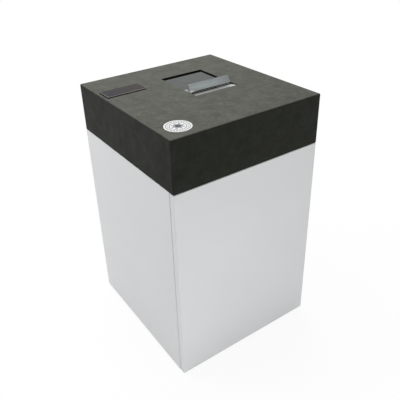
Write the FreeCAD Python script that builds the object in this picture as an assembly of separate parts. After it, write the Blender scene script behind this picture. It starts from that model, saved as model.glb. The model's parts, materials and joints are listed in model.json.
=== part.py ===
import FreeCAD, Part
import math
import os

from FreeCAD import Vector

# Media shredder on a floor cabinet. Millimetres, +Z up, the front towards -Y, the right side towards
# +X, the origin on the floor under the middle of the hood. The front panel is the front of a pull-out
# waste drawer; the cutter block, its gear train and its motor stand on a deck under the hood.

# Outside of hood and cabinet
HOOD_WIDTH = 508.0
HOOD_DEPTH = 533.4
HOOD_HEIGHT = 152.4
HOOD_SHEET = 2.0
HOOD_BEND = 4.0
HOOD_FLANGE = 15.0
HOOD_OVERHANG = 0.5
CABINET_HEIGHT = 655.0
CABINET_SHEET = 1.5
CABINET_BEND = 2.5
CABINET_FLANGE = 20.0
GASKET_THICKNESS = 1.0
GASKET_INSET = 2.0
FRONT_PANEL_DEPTH = 19.0
FRONT_PANEL_TOP_GAP = 1.5
SEAM_GAP = 2.0
REAR_INSET = 8.0
BACKING_SHEET = 1.2
BACKING_GAP = 0.2

# Base pan and feet
PAN_SHEET = 2.0
PAN_FLANGE = 30.0
FOOT_HEIGHT = 5.0
FOOT_RADIUS = 20.0
FOOT_INSET = 45.0
FOOT_STEM_RADIUS = 4.0
FOOT_BARB_RADIUS = 6.5
FOOT_BARB_HEIGHT = 5.0

# Finger notch beside the front panel, and slots in the rear panel
NOTCH_HEIGHT = 100.0
NOTCH_DEPTH = 18.0
NOTCH_CORNER = 6.0
NOTCH_MIDDLE_Z = 430.0
VENT_ROWS = 9
VENT_PITCH = 11.0
VENT_LENGTH = 130.0
VENT_HEIGHT = 3.6
VENT_TOP_MARGIN = 28.0
VENT_COLUMNS = 2
VENT_COLUMN_GAP = 30.0
VENT_SIDE = 58.5
SLOT_END_FLAT = 0.1

# Screws that hold the hood down
SCREW_RADIUS = 2.5
SCREW_HEAD_RADIUS = 4.5
SCREW_HEAD_HEIGHT = 3.0
SCREW_NUT_HEIGHT = 4.0
SCREW_EDGE = 10.5
SCREWS_PER_SIDE = 3
SCREW_END = 76.7
SCREW_RELIEF = 1.0
SCREW_CLEARANCE = 0.3

# Deck and rails
DECK_DROP = 126.0
DECK_SHEET = 6.0
RAIL_SIZE = 30.0
RAIL_SHEET = 3.0
END_GAP = 0.5

# Feed opening, flap and chute
OPENING_WIDTH = 152.0
OPENING_DEPTH = 196.0
OPENING_SIDE = 134.0
OPENING_FRONT = 210.7
OPENING_CORNER = 1.5
FLAP_GAP = 2.0
FLAP_SHEET = 2.0
FLAP_BEND = 2.5
FLAP_CORNER = 3.0
LIP_LENGTH = 22.5
LIP_LEAN = 32.0
SCOOP_LENGTH = 33.0
SCOOP_FOOT_GAP = 1.5
TRAY_DEPTH = 11.0
TRAY_MARGIN = 2.0
TRAY_FLANGE = 14.0
CHUTE_SHEET = 1.5
THROAT_MARGIN = 8.0
CHUTE_FOOT = 66.0
SCOOP_BEND = 4.0
PAD_LENGTH = 12.0
PAD_SETBACK = 6.0
PAD_GAP = 0.5

# Flap hinge
KNUCKLE_RADIUS = 3.5
HINGE_LEAF = 1.8
HINGE_PIN_RADIUS = 2.0
HINGE_PIN_END = 1.0
HINGE_WIDTH = 118.0
HINGE_LEAF_LENGTH = 16.0
HINGE_REAR_CLEARANCE = 1.5
KNUCKLE_GAP = 0.5
KNUCKLE_LIFT = 0.4
LEAF_SETBACK = 1.0

# Plate and disc on the hood's top
PLATE_LENGTH = 127.0
PLATE_DEPTH = 57.0
PLATE_HEIGHT = 3.0
PLATE_BEVEL = 1.2
PLATE_SIDE = 13.0
PLATE_REAR = 119.7
DISC_RADIUS = 37.0
DISC_HEIGHT = 0.8
DISC_SIDE = 62.0
DISC_FRONT = 61.5

# Cutter block
CUTTER_BEHIND_OPENING = 9.0
BLOCK_HEIGHT = 124.0
SIDE_PLATE = 12.0
BLOCK_WALL = 12.0
SHAFT_SPACING = 80.0
CUTTER_COUNT = 7
CUTTER_TIP_RADIUS = 45.0
CUTTER_ROOT_RADIUS = 38.5
CUTTER_HOOKS = 6
CUTTER_LAND = 0.16
CUTTER_BACK_AT = 0.5
CUTTER_SIDE_GAP = 0.4
CUTTER_STAGGER = 8.0
CUTTER_WALL_GAP = 4.0
SPACER_TIP_GAP = 1.5
SHAFT_HEX = 40.0
JOURNAL_RADIUS = 14.0
BEARING_RADIUS = 31.0
FIT = 0.06
COMB_GAP = 0.6
COMB_BAR = 12.0
COMB_BAR_DROP = 48.0
COMB_RISE = 8.0
COMB_REACH = 34.0
BOLT_RADIUS = 3.0
BOLT_HEAD_RADIUS = 5.0
BOLT_HEAD_HEIGHT = 6.0
BOLT_LENGTH = 34.0
BOLT_SPREAD = 42.0
BOLT_CLEARANCE = 0.2
DISCHARGE_LENGTH = 70.0
DISCHARGE_FLANGE = 14.0

# Gear train, on the left of the block
GEAR_WIDTH = 24.0
GEAR_GAP = 12.0
SYNC_TEETH = 20
IDLER_TEETH = 30
PINION_TEETH = 16
PRESSURE_ANGLE = 20.0
BACKLASH = 0.6
ROOT_DEPTH = 1.25
FLANK_STEPS = 4
SHAFT_END = 6.0
STUD_RADIUS = 12.0
STUD_HEAD_RADIUS = 17.0
STUD_HEAD = 5.0
OUTPUT_RADIUS = 12.0
OUTPUT_HOLE = 16.0
OUTPUT_DEPTH = 30.0
PLATE_EDGE = 32.0

# Motor, along X in front of the block
MOTOR_SETBACK = 161.0
MOTOR_RADIUS = 62.0
FIN_HEIGHT = 8.0
FIN_THICKNESS = 3.0
FIN_COUNT = 28
GEARHEAD_LENGTH = 75.0
GEARHEAD_RADIUS = 55.0
GEARHEAD_FLANGE = 12.0
GEARHEAD_STEP = 5.0
CRADLE_HEIGHT = 16.0
CRADLE_SIDES = 20.0
CRADLE_WIDTH = 96.0
CRADLE_LENGTH = 120.0
COWL_LENGTH = 34.0
MOTOR_SIDE_GAP = 9.0
COWL_SHEET = 2.0
COWL_SLOTS = 12
COWL_SLOT_WIDTH = 5.0
COWL_SLOT_EDGE = 8.0
FAN_RADIUS = 52.0
FAN_HUB_RADIUS = 16.0
FAN_WIDTH = 18.0
FAN_BLADES = 9
FAN_BLADE = 2.5
FAN_SHAFT_RADIUS = 8.0
FAN_END_GAP = 6.0
TERMINAL_LENGTH = 76.0
TERMINAL_WIDTH = 60.0
TERMINAL_HEIGHT = 34.0
TERMINAL_LID = 4.0
TERMINAL_LIP = 2.0
TERMINAL_SINK = 4.0

# Control box and the motor's lead
BOX_WIDTH = 94.0
BOX_LENGTH = 170.0
BOX_HEIGHT = 112.0
BOX_SIDE_GAP = 8.0
BOX_CORNER = 4.0
GLAND_RADIUS = 9.0
GLAND_LENGTH = 10.0
GLAND_SETBACK = 27.0
LEAD_RADIUS = 4.5
LEAD_RUN_OUT = 28.0
LEAD_SWING = 10.0
LEAD_TRIM = 0.45

# Control pocket on the right of the hood
POCKET_FRONT = 116.7
POCKET_RISE = 80.0
POCKET_LENGTH = 150.0
POCKET_HEIGHT = 56.0
POCKET_DEPTH = 16.0
POCKET_WALL = 2.5
POCKET_RIM = 9.0
POCKET_CORNER = 8.0
POCKET_FIT = 0.3
BUTTON_PLACES = 4
BUTTON_PITCH = 36.0
BUTTON_RADIUS = 11.0
BUTTON_PROUD = 8.5
BUTTON_TRAVEL = 3.0
BUTTON_CLEARANCE = 0.4
BUTTON_STEM = 9.0
BUTTON_EDGE = 1.2
BEZEL_RADIUS = 15.5
BEZEL_NECK = 13.5
BEZEL_HEIGHT = 2.5
SWITCH_SIZE = 28.0
SWITCH_DEPTH = 30.0
LAMP_RADIUS = 6.0
LAMP_NECK = 5.0
LAMP_PROUD = 4.0
LAMP_DOME = 3.2

# Power inlet with rocker switch on the rear panel
INLET_SIDE = 56.5
INLET_DROP = 62.0
INLET_WIDTH = 34.0
INLET_HEIGHT = 66.0
INLET_FLANGE = 4.0
INLET_PLATE = 3.0
INLET_DEPTH = 32.0
INLET_CORNER = 3.0
SOCKET_WIDTH = 25.0
SOCKET_HEIGHT = 18.0
SOCKET_DEPTH = 16.0
SOCKET_DROP = 15.0
PIN_LENGTH = 12.0
PIN_WIDTH = 2.0
PIN_HEIGHT = 4.0
PIN_PITCH = 7.0
PIN_ROOT = 1.0
ROCKER_RISE = 15.0
ROCKER_WIDTH = 15.0
ROCKER_HALF = 10.0
ROCKER_TILT = 10.0
ROCKER_GAP = 1.8
ROCKER_SIDE_GAP = 0.4
ROCKER_PIVOT_DEPTH = 3.0
ROCKER_SINK = 8.0
ROCKER_PROUD = 3.0
ROCKER_BELOW = 2.5
ROCKER_DISH = 2.0
ROCKER_PIN_RADIUS = 2.0
ROCKER_PIN_LENGTH = 3.0

# Drawer, runners and bin
RUNNER_THICKNESS = 12.7
RUNNER_HEIGHT = 46.0
RUNNER_END_GAP = 8.3
RUNNER_SHEET = 1.5
RUNNER_PLAY = 0.5
RUNNER_MIDDLE_Z = 92.0
RUNNER_SIDE_GAP = 1.5
DRAWER_SHEET = 1.5
DRAWER_FLOOR_Z = 58.0
DRAWER_WALL_TOP = 122.0
DRAWER_FRONT_TOP = 330.0
DRAWER_REAR_GAP = 33.4
BIN_SIDE_GAP = 16.0
BIN_END_GAP = 10.0
BIN_HEIGHT = 370.0
BIN_WALL = 3.0
BIN_DRAFT = 9.0
BIN_CORNER = 26.0
BIN_RIM = 9.0
BIN_RIM_HEIGHT = 12.0
HAND_HOLE_LENGTH = 100.0
HAND_HOLE_HEIGHT = 30.0
HAND_HOLE_DROP = 42.0

# How far a cutting shape runs past what it cuts
PAST = 5.0

HEX_SIDES = 6

# Places worked out from the sizes above
half_width = HOOD_WIDTH / 2
cabinet_x = half_width - HOOD_OVERHANG
side_inner_x = cabinet_x - CABINET_SHEET
hood_front_y = -HOOD_DEPTH / 2
hood_rear_y = HOOD_DEPTH / 2
cabinet_front_y = hood_front_y + HOOD_OVERHANG
cabinet_rear_y = hood_rear_y - HOOD_OVERHANG
panel_back_y = cabinet_front_y + FRONT_PANEL_DEPTH
side_front_y = panel_back_y + SEAM_GAP
flange_back_y = side_front_y + CABINET_SHEET
inner_bend = CABINET_BEND - CABINET_SHEET
behind_bend_y = flange_back_y + inner_bend
rear_outer_y = cabinet_rear_y - REAR_INSET
rear_inner_y = rear_outer_y - CABINET_SHEET
cabinet_low_z = FOOT_HEIGHT
cabinet_top_z = cabinet_low_z + CABINET_HEIGHT
hood_low_z = cabinet_top_z + GASKET_THICKNESS
top_z = hood_low_z + HOOD_HEIGHT
hood_under_z = top_z - HOOD_SHEET
deck_top_z = cabinet_top_z - DECK_DROP
deck_low_z = deck_top_z - DECK_SHEET

opening_x = (half_width - OPENING_SIDE - OPENING_WIDTH, half_width - OPENING_SIDE)
opening_y = (hood_front_y + OPENING_FRONT, hood_front_y + OPENING_FRONT + OPENING_DEPTH)
opening_middle_x = (opening_x[0] + opening_x[1]) / 2
opening_middle_y = (opening_y[0] + opening_y[1]) / 2
tray_x = (opening_x[0] - TRAY_MARGIN, opening_x[1] + TRAY_MARGIN)
tray_rear_y = opening_y[1] + TRAY_MARGIN
tray_floor_z = hood_under_z - TRAY_DEPTH
hinge_z = tray_floor_z + KNUCKLE_LIFT + KNUCKLE_RADIUS
flap_low_z = hinge_z + KNUCKLE_RADIUS
flap_top_z = flap_low_z + FLAP_SHEET
hinge_y = opening_y[1] - KNUCKLE_RADIUS - FLAP_SHEET - HINGE_REAR_CLEARANCE
flap_x = (opening_x[0] + FLAP_GAP, opening_x[1] - FLAP_GAP)
flap_y = (opening_y[0] + SCOOP_LENGTH, hinge_y - KNUCKLE_RADIUS - LEAF_SETBACK)
throat_x = (flap_x[0] + THROAT_MARGIN, flap_x[1] - THROAT_MARGIN)
throat_y = (flap_y[0] + THROAT_MARGIN, hinge_y - HINGE_LEAF_LENGTH - LEAF_SETBACK)

cutter_y = opening_middle_y + CUTTER_BEHIND_OPENING
block_x = opening_x
block_top_z = deck_top_z + BLOCK_HEIGHT
cutter_z = deck_top_z + BLOCK_HEIGHT / 2
shaft_y = (cutter_y - SHAFT_SPACING / 2, cutter_y + SHAFT_SPACING / 2)
block_y = (shaft_y[0] - CUTTER_TIP_RADIUS - CUTTER_WALL_GAP, shaft_y[1] + CUTTER_TIP_RADIUS + CUTTER_WALL_GAP)
wall_y = (block_y[0] - BLOCK_WALL, block_y[1] + BLOCK_WALL)
plate_x = (block_x[0] - SIDE_PLATE, block_x[1] + SIDE_PLATE)
cutter_pitch = OPENING_WIDTH / CUTTER_COUNT
cutter_width = cutter_pitch / 2 - CUTTER_SIDE_GAP
spacer_radius = SHAFT_SPACING - CUTTER_TIP_RADIUS - SPACER_TIP_GAP

gear_module = SHAFT_SPACING / SYNC_TEETH
gear_x = (plate_x[0] - GEAR_GAP - GEAR_WIDTH, plate_x[0] - GEAR_GAP)
motor_y = shaft_y[0] - MOTOR_SETBACK
motor_z = deck_top_z + CRADLE_HEIGHT + FIN_HEIGHT + MOTOR_RADIUS
gearhead_x = (block_x[0], block_x[0] + GEARHEAD_LENGTH)
cowl_end_x = cabinet_x - CABINET_FLANGE - MOTOR_SIDE_GAP
cowl_x = (cowl_end_x - COWL_LENGTH, cowl_end_x)
motor_x = (gearhead_x[1], cowl_x[0])
motor_middle_x = (motor_x[0] + motor_x[1]) / 2
terminal_x = (motor_middle_x - TERMINAL_LENGTH / 2, motor_middle_x + TERMINAL_LENGTH / 2)
terminal_low_z = motor_z + MOTOR_RADIUS + FIN_HEIGHT - TERMINAL_SINK

box_x = (side_inner_x - BOX_SIDE_GAP - BOX_WIDTH, side_inner_x - BOX_SIDE_GAP)
box_y = (cutter_y - BOX_LENGTH / 2, cutter_y + BOX_LENGTH / 2)
box_top_z = deck_top_z + BOX_HEIGHT

pocket_y = hood_front_y + POCKET_FRONT
pocket_z = hood_low_z + POCKET_RISE
pocket_rim_x = half_width - HOOD_SHEET
pocket_floor_x = pocket_rim_x - POCKET_DEPTH
pocket_back_x = pocket_floor_x - POCKET_WALL
inlet_x = cabinet_x - INLET_SIDE
inlet_z = cabinet_top_z - INLET_DROP

runner_outer_x = cabinet_x - CABINET_FLANGE - RUNNER_SIDE_GAP
drawer_side_x = runner_outer_x - RUNNER_THICKNESS
drawer_y = (panel_back_y, rear_outer_y - CABINET_FLANGE - DRAWER_REAR_GAP)
runner_y = (behind_bend_y, drawer_y[1] - RUNNER_END_GAP)
bin_low_z = DRAWER_FLOOR_Z + DRAWER_SHEET

parts = {}


def box(x, y, z):
    """Box between the two ends given on each axis."""
    return Part.makeBox(x[1] - x[0], y[1] - y[0], z[1] - z[0], Vector(x[0], y[0], z[0]))


def rod_x(radius, x, y, z):
    return Part.makeCylinder(radius, x[1] - x[0], Vector(x[0], y, z), Vector(1, 0, 0))


def rod_y(radius, x, y, z):
    return Part.makeCylinder(radius, y[1] - y[0], Vector(x, y[0], z), Vector(0, 1, 0))


def rod_z(radius, x, y, z):
    return Part.makeCylinder(radius, z[1] - z[0], Vector(x, y, z[0]))


def joined(shapes):
    """One solid from shapes that overlap or share a face."""
    return shapes[0].multiFuse(shapes[1:]).removeSplitter()


def rounded(shape, radius, chosen):
    """Fillets the edges for which chosen(centre, ends) holds."""
    edges = []
    for edge in shape.Edges:
        ends = [vertex.Point for vertex in edge.Vertexes]
        if chosen(edge.CenterOfMass, ends):
            edges.append(edge)
    return shape.makeFillet(radius, edges)


def runs_along(axis, ends):
    """True for an edge that is parallel to the named axis."""
    others = [name for name in "xyz" if name != axis]
    return all(abs(getattr(ends[0], name) - getattr(ends[-1], name)) < 1e-6 for name in others)


def bar(x, y, z, radius, axis):
    """Box whose four edges along one axis are rounded."""
    return rounded(box(x, y, z), radius, lambda centre, ends: runs_along(axis, ends))


def grown(span, by):
    return (span[0] - by, span[1] + by)


def around(middle, size):
    return (middle - size / 2, middle + size / 2)


def prism_x(outline, x):
    """Solid along X over a closed outline of (y, z) points."""
    points = [Vector(x[0], y, z) for y, z in outline]
    face = Part.Face(Part.makePolygon(points + points[:1]))
    return face.extrude(Vector(x[1] - x[0], 0, 0))


def mirrored_x(shape):
    return shape.mirror(Vector(0, 0, 0), Vector(1, 0, 0))


def rectangle_wire(x, y, z):
    corners = [Vector(x[0], y[0], z), Vector(x[1], y[0], z), Vector(x[1], y[1], z), Vector(x[0], y[1], z)]
    return Part.makePolygon(corners + corners[:1])


def tapered_box(x_low, y_low, z_low, x_high, y_high, z_high):
    """Solid between a rectangle at one height and another above it."""
    low = rectangle_wire(x_low, y_low, z_low)
    high = rectangle_wire(x_high, y_high, z_high)
    return Part.makeLoft([low, high], True, True)


def polar(radius, angle):
    """(y, z) of a point about an X axis, angle in degrees from +Y towards +Z."""
    turn = math.radians(angle)
    return (radius * math.cos(turn), radius * math.sin(turn))


# Cabinet


def make_base_pan():
    x = (-side_inner_x, side_inner_x)
    y = (behind_bend_y, rear_inner_y)
    pan = box(x, y, (cabinet_low_z, cabinet_low_z + PAN_FLANGE))
    inside = box(grown(x, -PAN_SHEET), grown(y, -PAN_SHEET), (cabinet_low_z + PAN_SHEET, top_z))
    pan = pan.cut(inside)
    for foot_x, foot_y in foot_places():
        hole = rod_z(FOOT_STEM_RADIUS + FIT, foot_x, foot_y, (0, cabinet_low_z + PAN_FLANGE))
        pan = pan.cut(hole)
    parts["base_pan"] = pan


def foot_places():
    xs = (-side_inner_x + FOOT_INSET, side_inner_x - FOOT_INSET)
    ys = (side_front_y + FOOT_INSET, rear_inner_y - FOOT_INSET)
    return [(x, y) for x in xs for y in ys]


def make_feet():
    pan_floor_z = cabinet_low_z + PAN_SHEET
    feet = []
    for x, y in foot_places():
        pad = rod_z(FOOT_RADIUS, x, y, (0, FOOT_HEIGHT))
        stem = rod_z(FOOT_STEM_RADIUS, x, y, (0, pan_floor_z))
        barb_base = Vector(x, y, pan_floor_z)
        barb = Part.makeCone(FOOT_BARB_RADIUS, FOOT_STEM_RADIUS / 2, FOOT_BARB_HEIGHT, barb_base)
        feet.append(joined([pad, stem, barb]))
    parts["rubber_feet"] = Part.makeCompound(feet)


def screw_places():
    step = (HOOD_DEPTH - 2 * SCREW_END) / (SCREWS_PER_SIDE - 1)
    ys = [hood_front_y + SCREW_END + i * step for i in range(SCREWS_PER_SIDE)]
    return [(side * (cabinet_x - SCREW_EDGE), y) for side in (-1, 1) for y in ys]


def screw_holes():
    z = (cabinet_top_z - CABINET_FLANGE, hood_low_z + HOOD_FLANGE)
    return [rod_z(SCREW_RADIUS + SCREW_CLEARANCE, x, y, z) for x, y in screw_places()]


def make_side_panels():
    """Right panel with flanges at its front and top; the left one is its mirror image."""
    x = (cabinet_x - CABINET_FLANGE, cabinet_x)
    y = (side_front_y, cabinet_rear_y)
    z = (cabinet_low_z, cabinet_top_z)
    blank = box(x, y, z)

    def outer_bend_edge(centre, ends):
        at_side = all(abs(end.x - cabinet_x) < 1e-6 for end in ends)
        at_front = all(abs(end.y - side_front_y) < 1e-6 for end in ends)
        at_top = all(abs(end.z - cabinet_top_z) < 1e-6 for end in ends)
        return at_side and (at_front or at_top)

    blank = rounded(blank, CABINET_BEND, outer_bend_edge)
    inside_x = (x[0] - PAST, side_inner_x)
    inside = box(inside_x, (flange_back_y, y[1] + PAST), (z[0] - PAST, z[1] - CABINET_SHEET))

    def inner_bend_edge(centre, ends):
        at_side = all(abs(end.x - side_inner_x) < 1e-6 for end in ends)
        at_front = all(abs(end.y - flange_back_y) < 1e-6 for end in ends)
        at_top = all(abs(end.z - z[1] + CABINET_SHEET) < 1e-6 for end in ends)
        return at_side and (at_front or at_top)

    inside = rounded(inside, inner_bend, inner_bend_edge)
    panel = blank.cut(inside)
    panel = panel.cut(Part.makeCompound(screw_holes()))
    parts["left_side_panel"] = mirrored_x(panel)

    notch_y = (side_front_y - PAST, side_front_y + NOTCH_DEPTH)
    notch = box(grown(x, PAST), notch_y, around(NOTCH_MIDDLE_Z, NOTCH_HEIGHT))

    def notch_corner(centre, ends):
        return runs_along("x", ends) and abs(centre.y - notch_y[1]) < 1e-6

    notch = rounded(notch, NOTCH_CORNER, notch_corner)
    parts["right_side_panel"] = panel.cut(notch)


def make_rear_panel():
    x = (-side_inner_x, side_inner_x)
    z = (cabinet_low_z, cabinet_top_z - CABINET_BEND)
    y = (rear_outer_y - CABINET_FLANGE, rear_outer_y)
    blank = box(x, y, z)
    inside = box(grown(x, -CABINET_SHEET), (y[0] - PAST, rear_inner_y), (z[0] - PAST, z[1] - CABINET_SHEET))
    panel = blank.cut(inside)
    pan_recess = box(grown(x, PAST), (y[0] - PAST, rear_inner_y), (z[0] - PAST, z[0] + PAN_FLANGE + END_GAP))
    panel = panel.cut(pan_recess)
    slots = []
    for row in range(VENT_ROWS):
        slot_z = z[1] - VENT_TOP_MARGIN - row * VENT_PITCH
        for column in range(VENT_COLUMNS):
            low_x = -cabinet_x + VENT_SIDE + column * (VENT_LENGTH + VENT_COLUMN_GAP)
            slot_x = (low_x, low_x + VENT_LENGTH)
            end_radius = (VENT_HEIGHT - SLOT_END_FLAT) / 2
            slots.append(bar(slot_x, grown(y, PAST), around(slot_z, VENT_HEIGHT), end_radius, "y"))
    panel = panel.cut(Part.makeCompound(slots))
    window = box(
        around(inlet_x, INLET_WIDTH - 2 * INLET_FLANGE + 2 * END_GAP),
        grown(y, PAST),
        around(inlet_z, INLET_HEIGHT - 2 * INLET_FLANGE + 2 * END_GAP),
    )
    parts["rear_panel"] = panel.cut(window)


def make_hood():
    x = (-half_width, half_width)
    y = (hood_front_y, hood_rear_y)
    z = (hood_low_z, top_z)
    blank = box(x, y, z)
    blank = rounded(blank, HOOD_BEND, lambda centre, ends: centre.z > z[0] + 1e-6)
    inside = box(grown(x, -HOOD_SHEET), grown(y, -HOOD_SHEET), (z[0] + HOOD_SHEET, hood_under_z))
    inside = rounded(inside, HOOD_BEND - HOOD_SHEET, lambda centre, ends: centre.z > z[0] + HOOD_SHEET + 1e-6)
    below = box(grown(x, -HOOD_FLANGE), grown(y, -HOOD_FLANGE), (z[0] - PAST, z[0] + HOOD_SHEET + PAST))
    hood = blank.cut(inside).cut(below)
    feed = bar(opening_x, opening_y, (hood_under_z - PAST, top_z + PAST), OPENING_CORNER, "z")
    window = bar(
        (pocket_rim_x - PAST, half_width + PAST),
        around(pocket_y, POCKET_LENGTH),
        around(pocket_z, POCKET_HEIGHT),
        POCKET_CORNER,
        "x",
    )
    hood = hood.cut(feed).cut(window)
    parts["hood_shell"] = hood.cut(Part.makeCompound(screw_holes()))


def make_gasket():
    x = (-half_width + GASKET_INSET, half_width - GASKET_INSET)
    y = (hood_front_y + GASKET_INSET, hood_rear_y - GASKET_INSET)
    width = HOOD_FLANGE - GASKET_INSET
    ring = box(x, y, (cabinet_top_z, hood_low_z))
    middle = box(grown(x, -width), grown(y, -width), (cabinet_top_z - PAST, hood_low_z + PAST))
    ring = ring.cut(middle)
    parts["hood_gasket"] = ring.cut(Part.makeCompound(screw_holes()))


def make_hood_screws():
    screws = []
    head_top_z = cabinet_top_z - CABINET_SHEET
    nut_low_z = hood_low_z + HOOD_SHEET
    for x, y in screw_places():
        head = rod_z(SCREW_HEAD_RADIUS, x, y, (head_top_z - SCREW_HEAD_HEIGHT, head_top_z))
        shank = rod_z(SCREW_RADIUS, x, y, (head_top_z - SCREW_HEAD_HEIGHT / 2, nut_low_z + SCREW_NUT_HEIGHT))
        turns = [360 * k / HEX_SIDES for k in range(HEX_SIDES)]
        corners = [Vector(x, y, nut_low_z) + Vector(*polar(SCREW_HEAD_RADIUS, turn), 0) for turn in turns]
        nut = Part.Face(Part.makePolygon(corners + corners[:1])).extrude(Vector(0, 0, SCREW_NUT_HEIGHT))
        screws.append(joined([head, shank, nut]))
    parts["hood_screws"] = Part.makeCompound(screws)


def make_frame_rails():
    """Angles under the deck, a channel across the top of the front, and the runners' stand-offs."""
    y = (behind_bend_y, rear_outer_y - CABINET_FLANGE - END_GAP)
    leg = box((side_inner_x - RAIL_SHEET, side_inner_x), y, (deck_low_z - RAIL_SIZE, deck_low_z))
    shelf = box((side_inner_x - RAIL_SIZE, side_inner_x), y, (deck_low_z - RAIL_SHEET, deck_low_z))
    deck_rail = joined([leg, shelf])
    stand_off_z = around(RUNNER_MIDDLE_Z, RAIL_SIZE)
    stand_off = box((runner_outer_x, side_inner_x), runner_y, stand_off_z)
    hollow_x = (runner_outer_x + RAIL_SHEET, side_inner_x + PAST)
    hollow = box(hollow_x, grown(runner_y, PAST), grown(stand_off_z, -RAIL_SHEET))
    stand_off = stand_off.cut(hollow)
    front_z = (cabinet_top_z - CABINET_SHEET - RAIL_SIZE, cabinet_top_z - CABINET_SHEET)
    front_y = (flange_back_y, flange_back_y + CABINET_FLANGE)
    front_x = (-side_inner_x + inner_bend, side_inner_x - inner_bend)
    cross = box(front_x, front_y, front_z)
    inside_z = (front_z[0] - PAST, front_z[1] - RAIL_SHEET)
    cross = cross.cut(box(grown(front_x, PAST), (front_y[0] + RAIL_SHEET, front_y[1] + PAST), inside_z))
    cross = cross.cut(Part.makeCompound(front_screw_relief()))
    parts["frame_rails"] = Part.makeCompound(
        [deck_rail, mirrored_x(deck_rail), stand_off, mirrored_x(stand_off), cross]
    )


def front_screw_relief():
    """Room in the front channel for any hood screw that stands over it."""
    z = (cabinet_top_z - CABINET_FLANGE - RAIL_SIZE, cabinet_top_z)
    return [rod_z(SCREW_HEAD_RADIUS + SCREW_RELIEF, x, y, z) for x, y in screw_places()]


def make_deck():
    x = (-side_inner_x + END_GAP, side_inner_x - END_GAP)
    y = (flange_back_y + END_GAP, rear_outer_y - CABINET_FLANGE - END_GAP)
    deck = box(x, y, (deck_low_z, deck_top_z))
    drop = box(block_x, block_y, (deck_low_z - PAST, deck_top_z + PAST))
    parts["machine_deck"] = deck.cut(drop)


# Feed flap and chute


def sheet_strip(points, thickness):
    """Closed outline of a bent sheet: the given line and the same line moved to its right."""
    moved = []
    count = len(points)
    normals = []
    for i in range(count - 1):
        dy = points[i + 1][0] - points[i][0]
        dz = points[i + 1][1] - points[i][1]
        length = math.hypot(dy, dz)
        normals.append((dz / length, -dy / length))
    for i in range(count):
        before = normals[max(i - 1, 0)]
        after = normals[min(i, count - 2)]
        scale = thickness / (1 + before[0] * after[0] + before[1] * after[1])
        moved_y = points[i][0] + (before[0] + after[0]) * scale
        moved_z = points[i][1] + (before[1] + after[1]) * scale
        moved.append((moved_y, moved_z))
    return points + moved[::-1]


def make_chute():
    """Tray under the hood's opening with the shallow finger scoop, and the duct down to the cutters."""
    scoop_top_y = opening_y[0] - TRAY_MARGIN
    scoop_foot_y = flap_y[0] + FLAP_BEND
    scoop_foot_z = flap_low_z - SCOOP_FOOT_GAP
    outer_x = grown(tray_x, CHUTE_SHEET)
    line = [
        (scoop_top_y - TRAY_FLANGE, hood_under_z),
        (scoop_top_y, hood_under_z),
        (scoop_foot_y, scoop_foot_z),
        (scoop_foot_y, tray_floor_z),
        (tray_rear_y, tray_floor_z),
        (tray_rear_y, hood_under_z),
        (tray_rear_y + TRAY_FLANGE, hood_under_z),
    ]
    tray = prism_x(sheet_strip(line, CHUTE_SHEET), outer_x)

    def scoop_edge(centre, ends):
        at_top = abs(centre.z - hood_under_z) < 1e-6 and abs(centre.y - scoop_top_y) < 1e-6
        return at_top and runs_along("x", ends)

    tray = rounded(tray, SCOOP_BEND, scoop_edge)
    cheek_line = [
        (scoop_top_y, hood_under_z),
        (scoop_foot_y, scoop_foot_z - CHUTE_SHEET),
        (scoop_foot_y, tray_floor_z - CHUTE_SHEET),
        (tray_rear_y + CHUTE_SHEET, tray_floor_z - CHUTE_SHEET),
        (tray_rear_y + CHUTE_SHEET, hood_under_z),
    ]
    flange_y = (scoop_top_y, tray_rear_y + CHUTE_SHEET)
    flange_z = (hood_under_z - CHUTE_SHEET, hood_under_z)
    pieces = [tray]
    for inner, outer, edge in (
        (tray_x[0], outer_x[0], outer_x[0] - TRAY_FLANGE),
        (tray_x[1], outer_x[1], outer_x[1] + TRAY_FLANGE),
    ):
        pieces.append(prism_x(cheek_line, (min(inner, outer), max(inner, outer))))
        pieces.append(box((min(outer, edge), max(outer, edge)), flange_y, flange_z))

    foot_y = around(cutter_y, 2 * CHUTE_FOOT)
    foot_x = grown(block_x, -CHUTE_SHEET)
    duct_z = (block_top_z, tray_floor_z - CHUTE_SHEET)
    duct = tapered_box(
        grown(foot_x, CHUTE_SHEET),
        grown(foot_y, CHUTE_SHEET),
        duct_z[0],
        grown(throat_x, CHUTE_SHEET),
        grown(throat_y, CHUTE_SHEET),
        duct_z[1],
    )
    bore = tapered_box(foot_x, foot_y, duct_z[0], throat_x, throat_y, duct_z[1])
    cover = box(plate_x, wall_y, (block_top_z, block_top_z + CHUTE_SHEET))
    below = box(foot_x, foot_y, (block_top_z - PAST, block_top_z))
    above = box(throat_x, throat_y, (duct_z[1], hood_under_z))
    chute = joined(pieces + [duct, cover])
    parts["feed_chute"] = chute.cut(bore).cut(below).cut(above)


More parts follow.
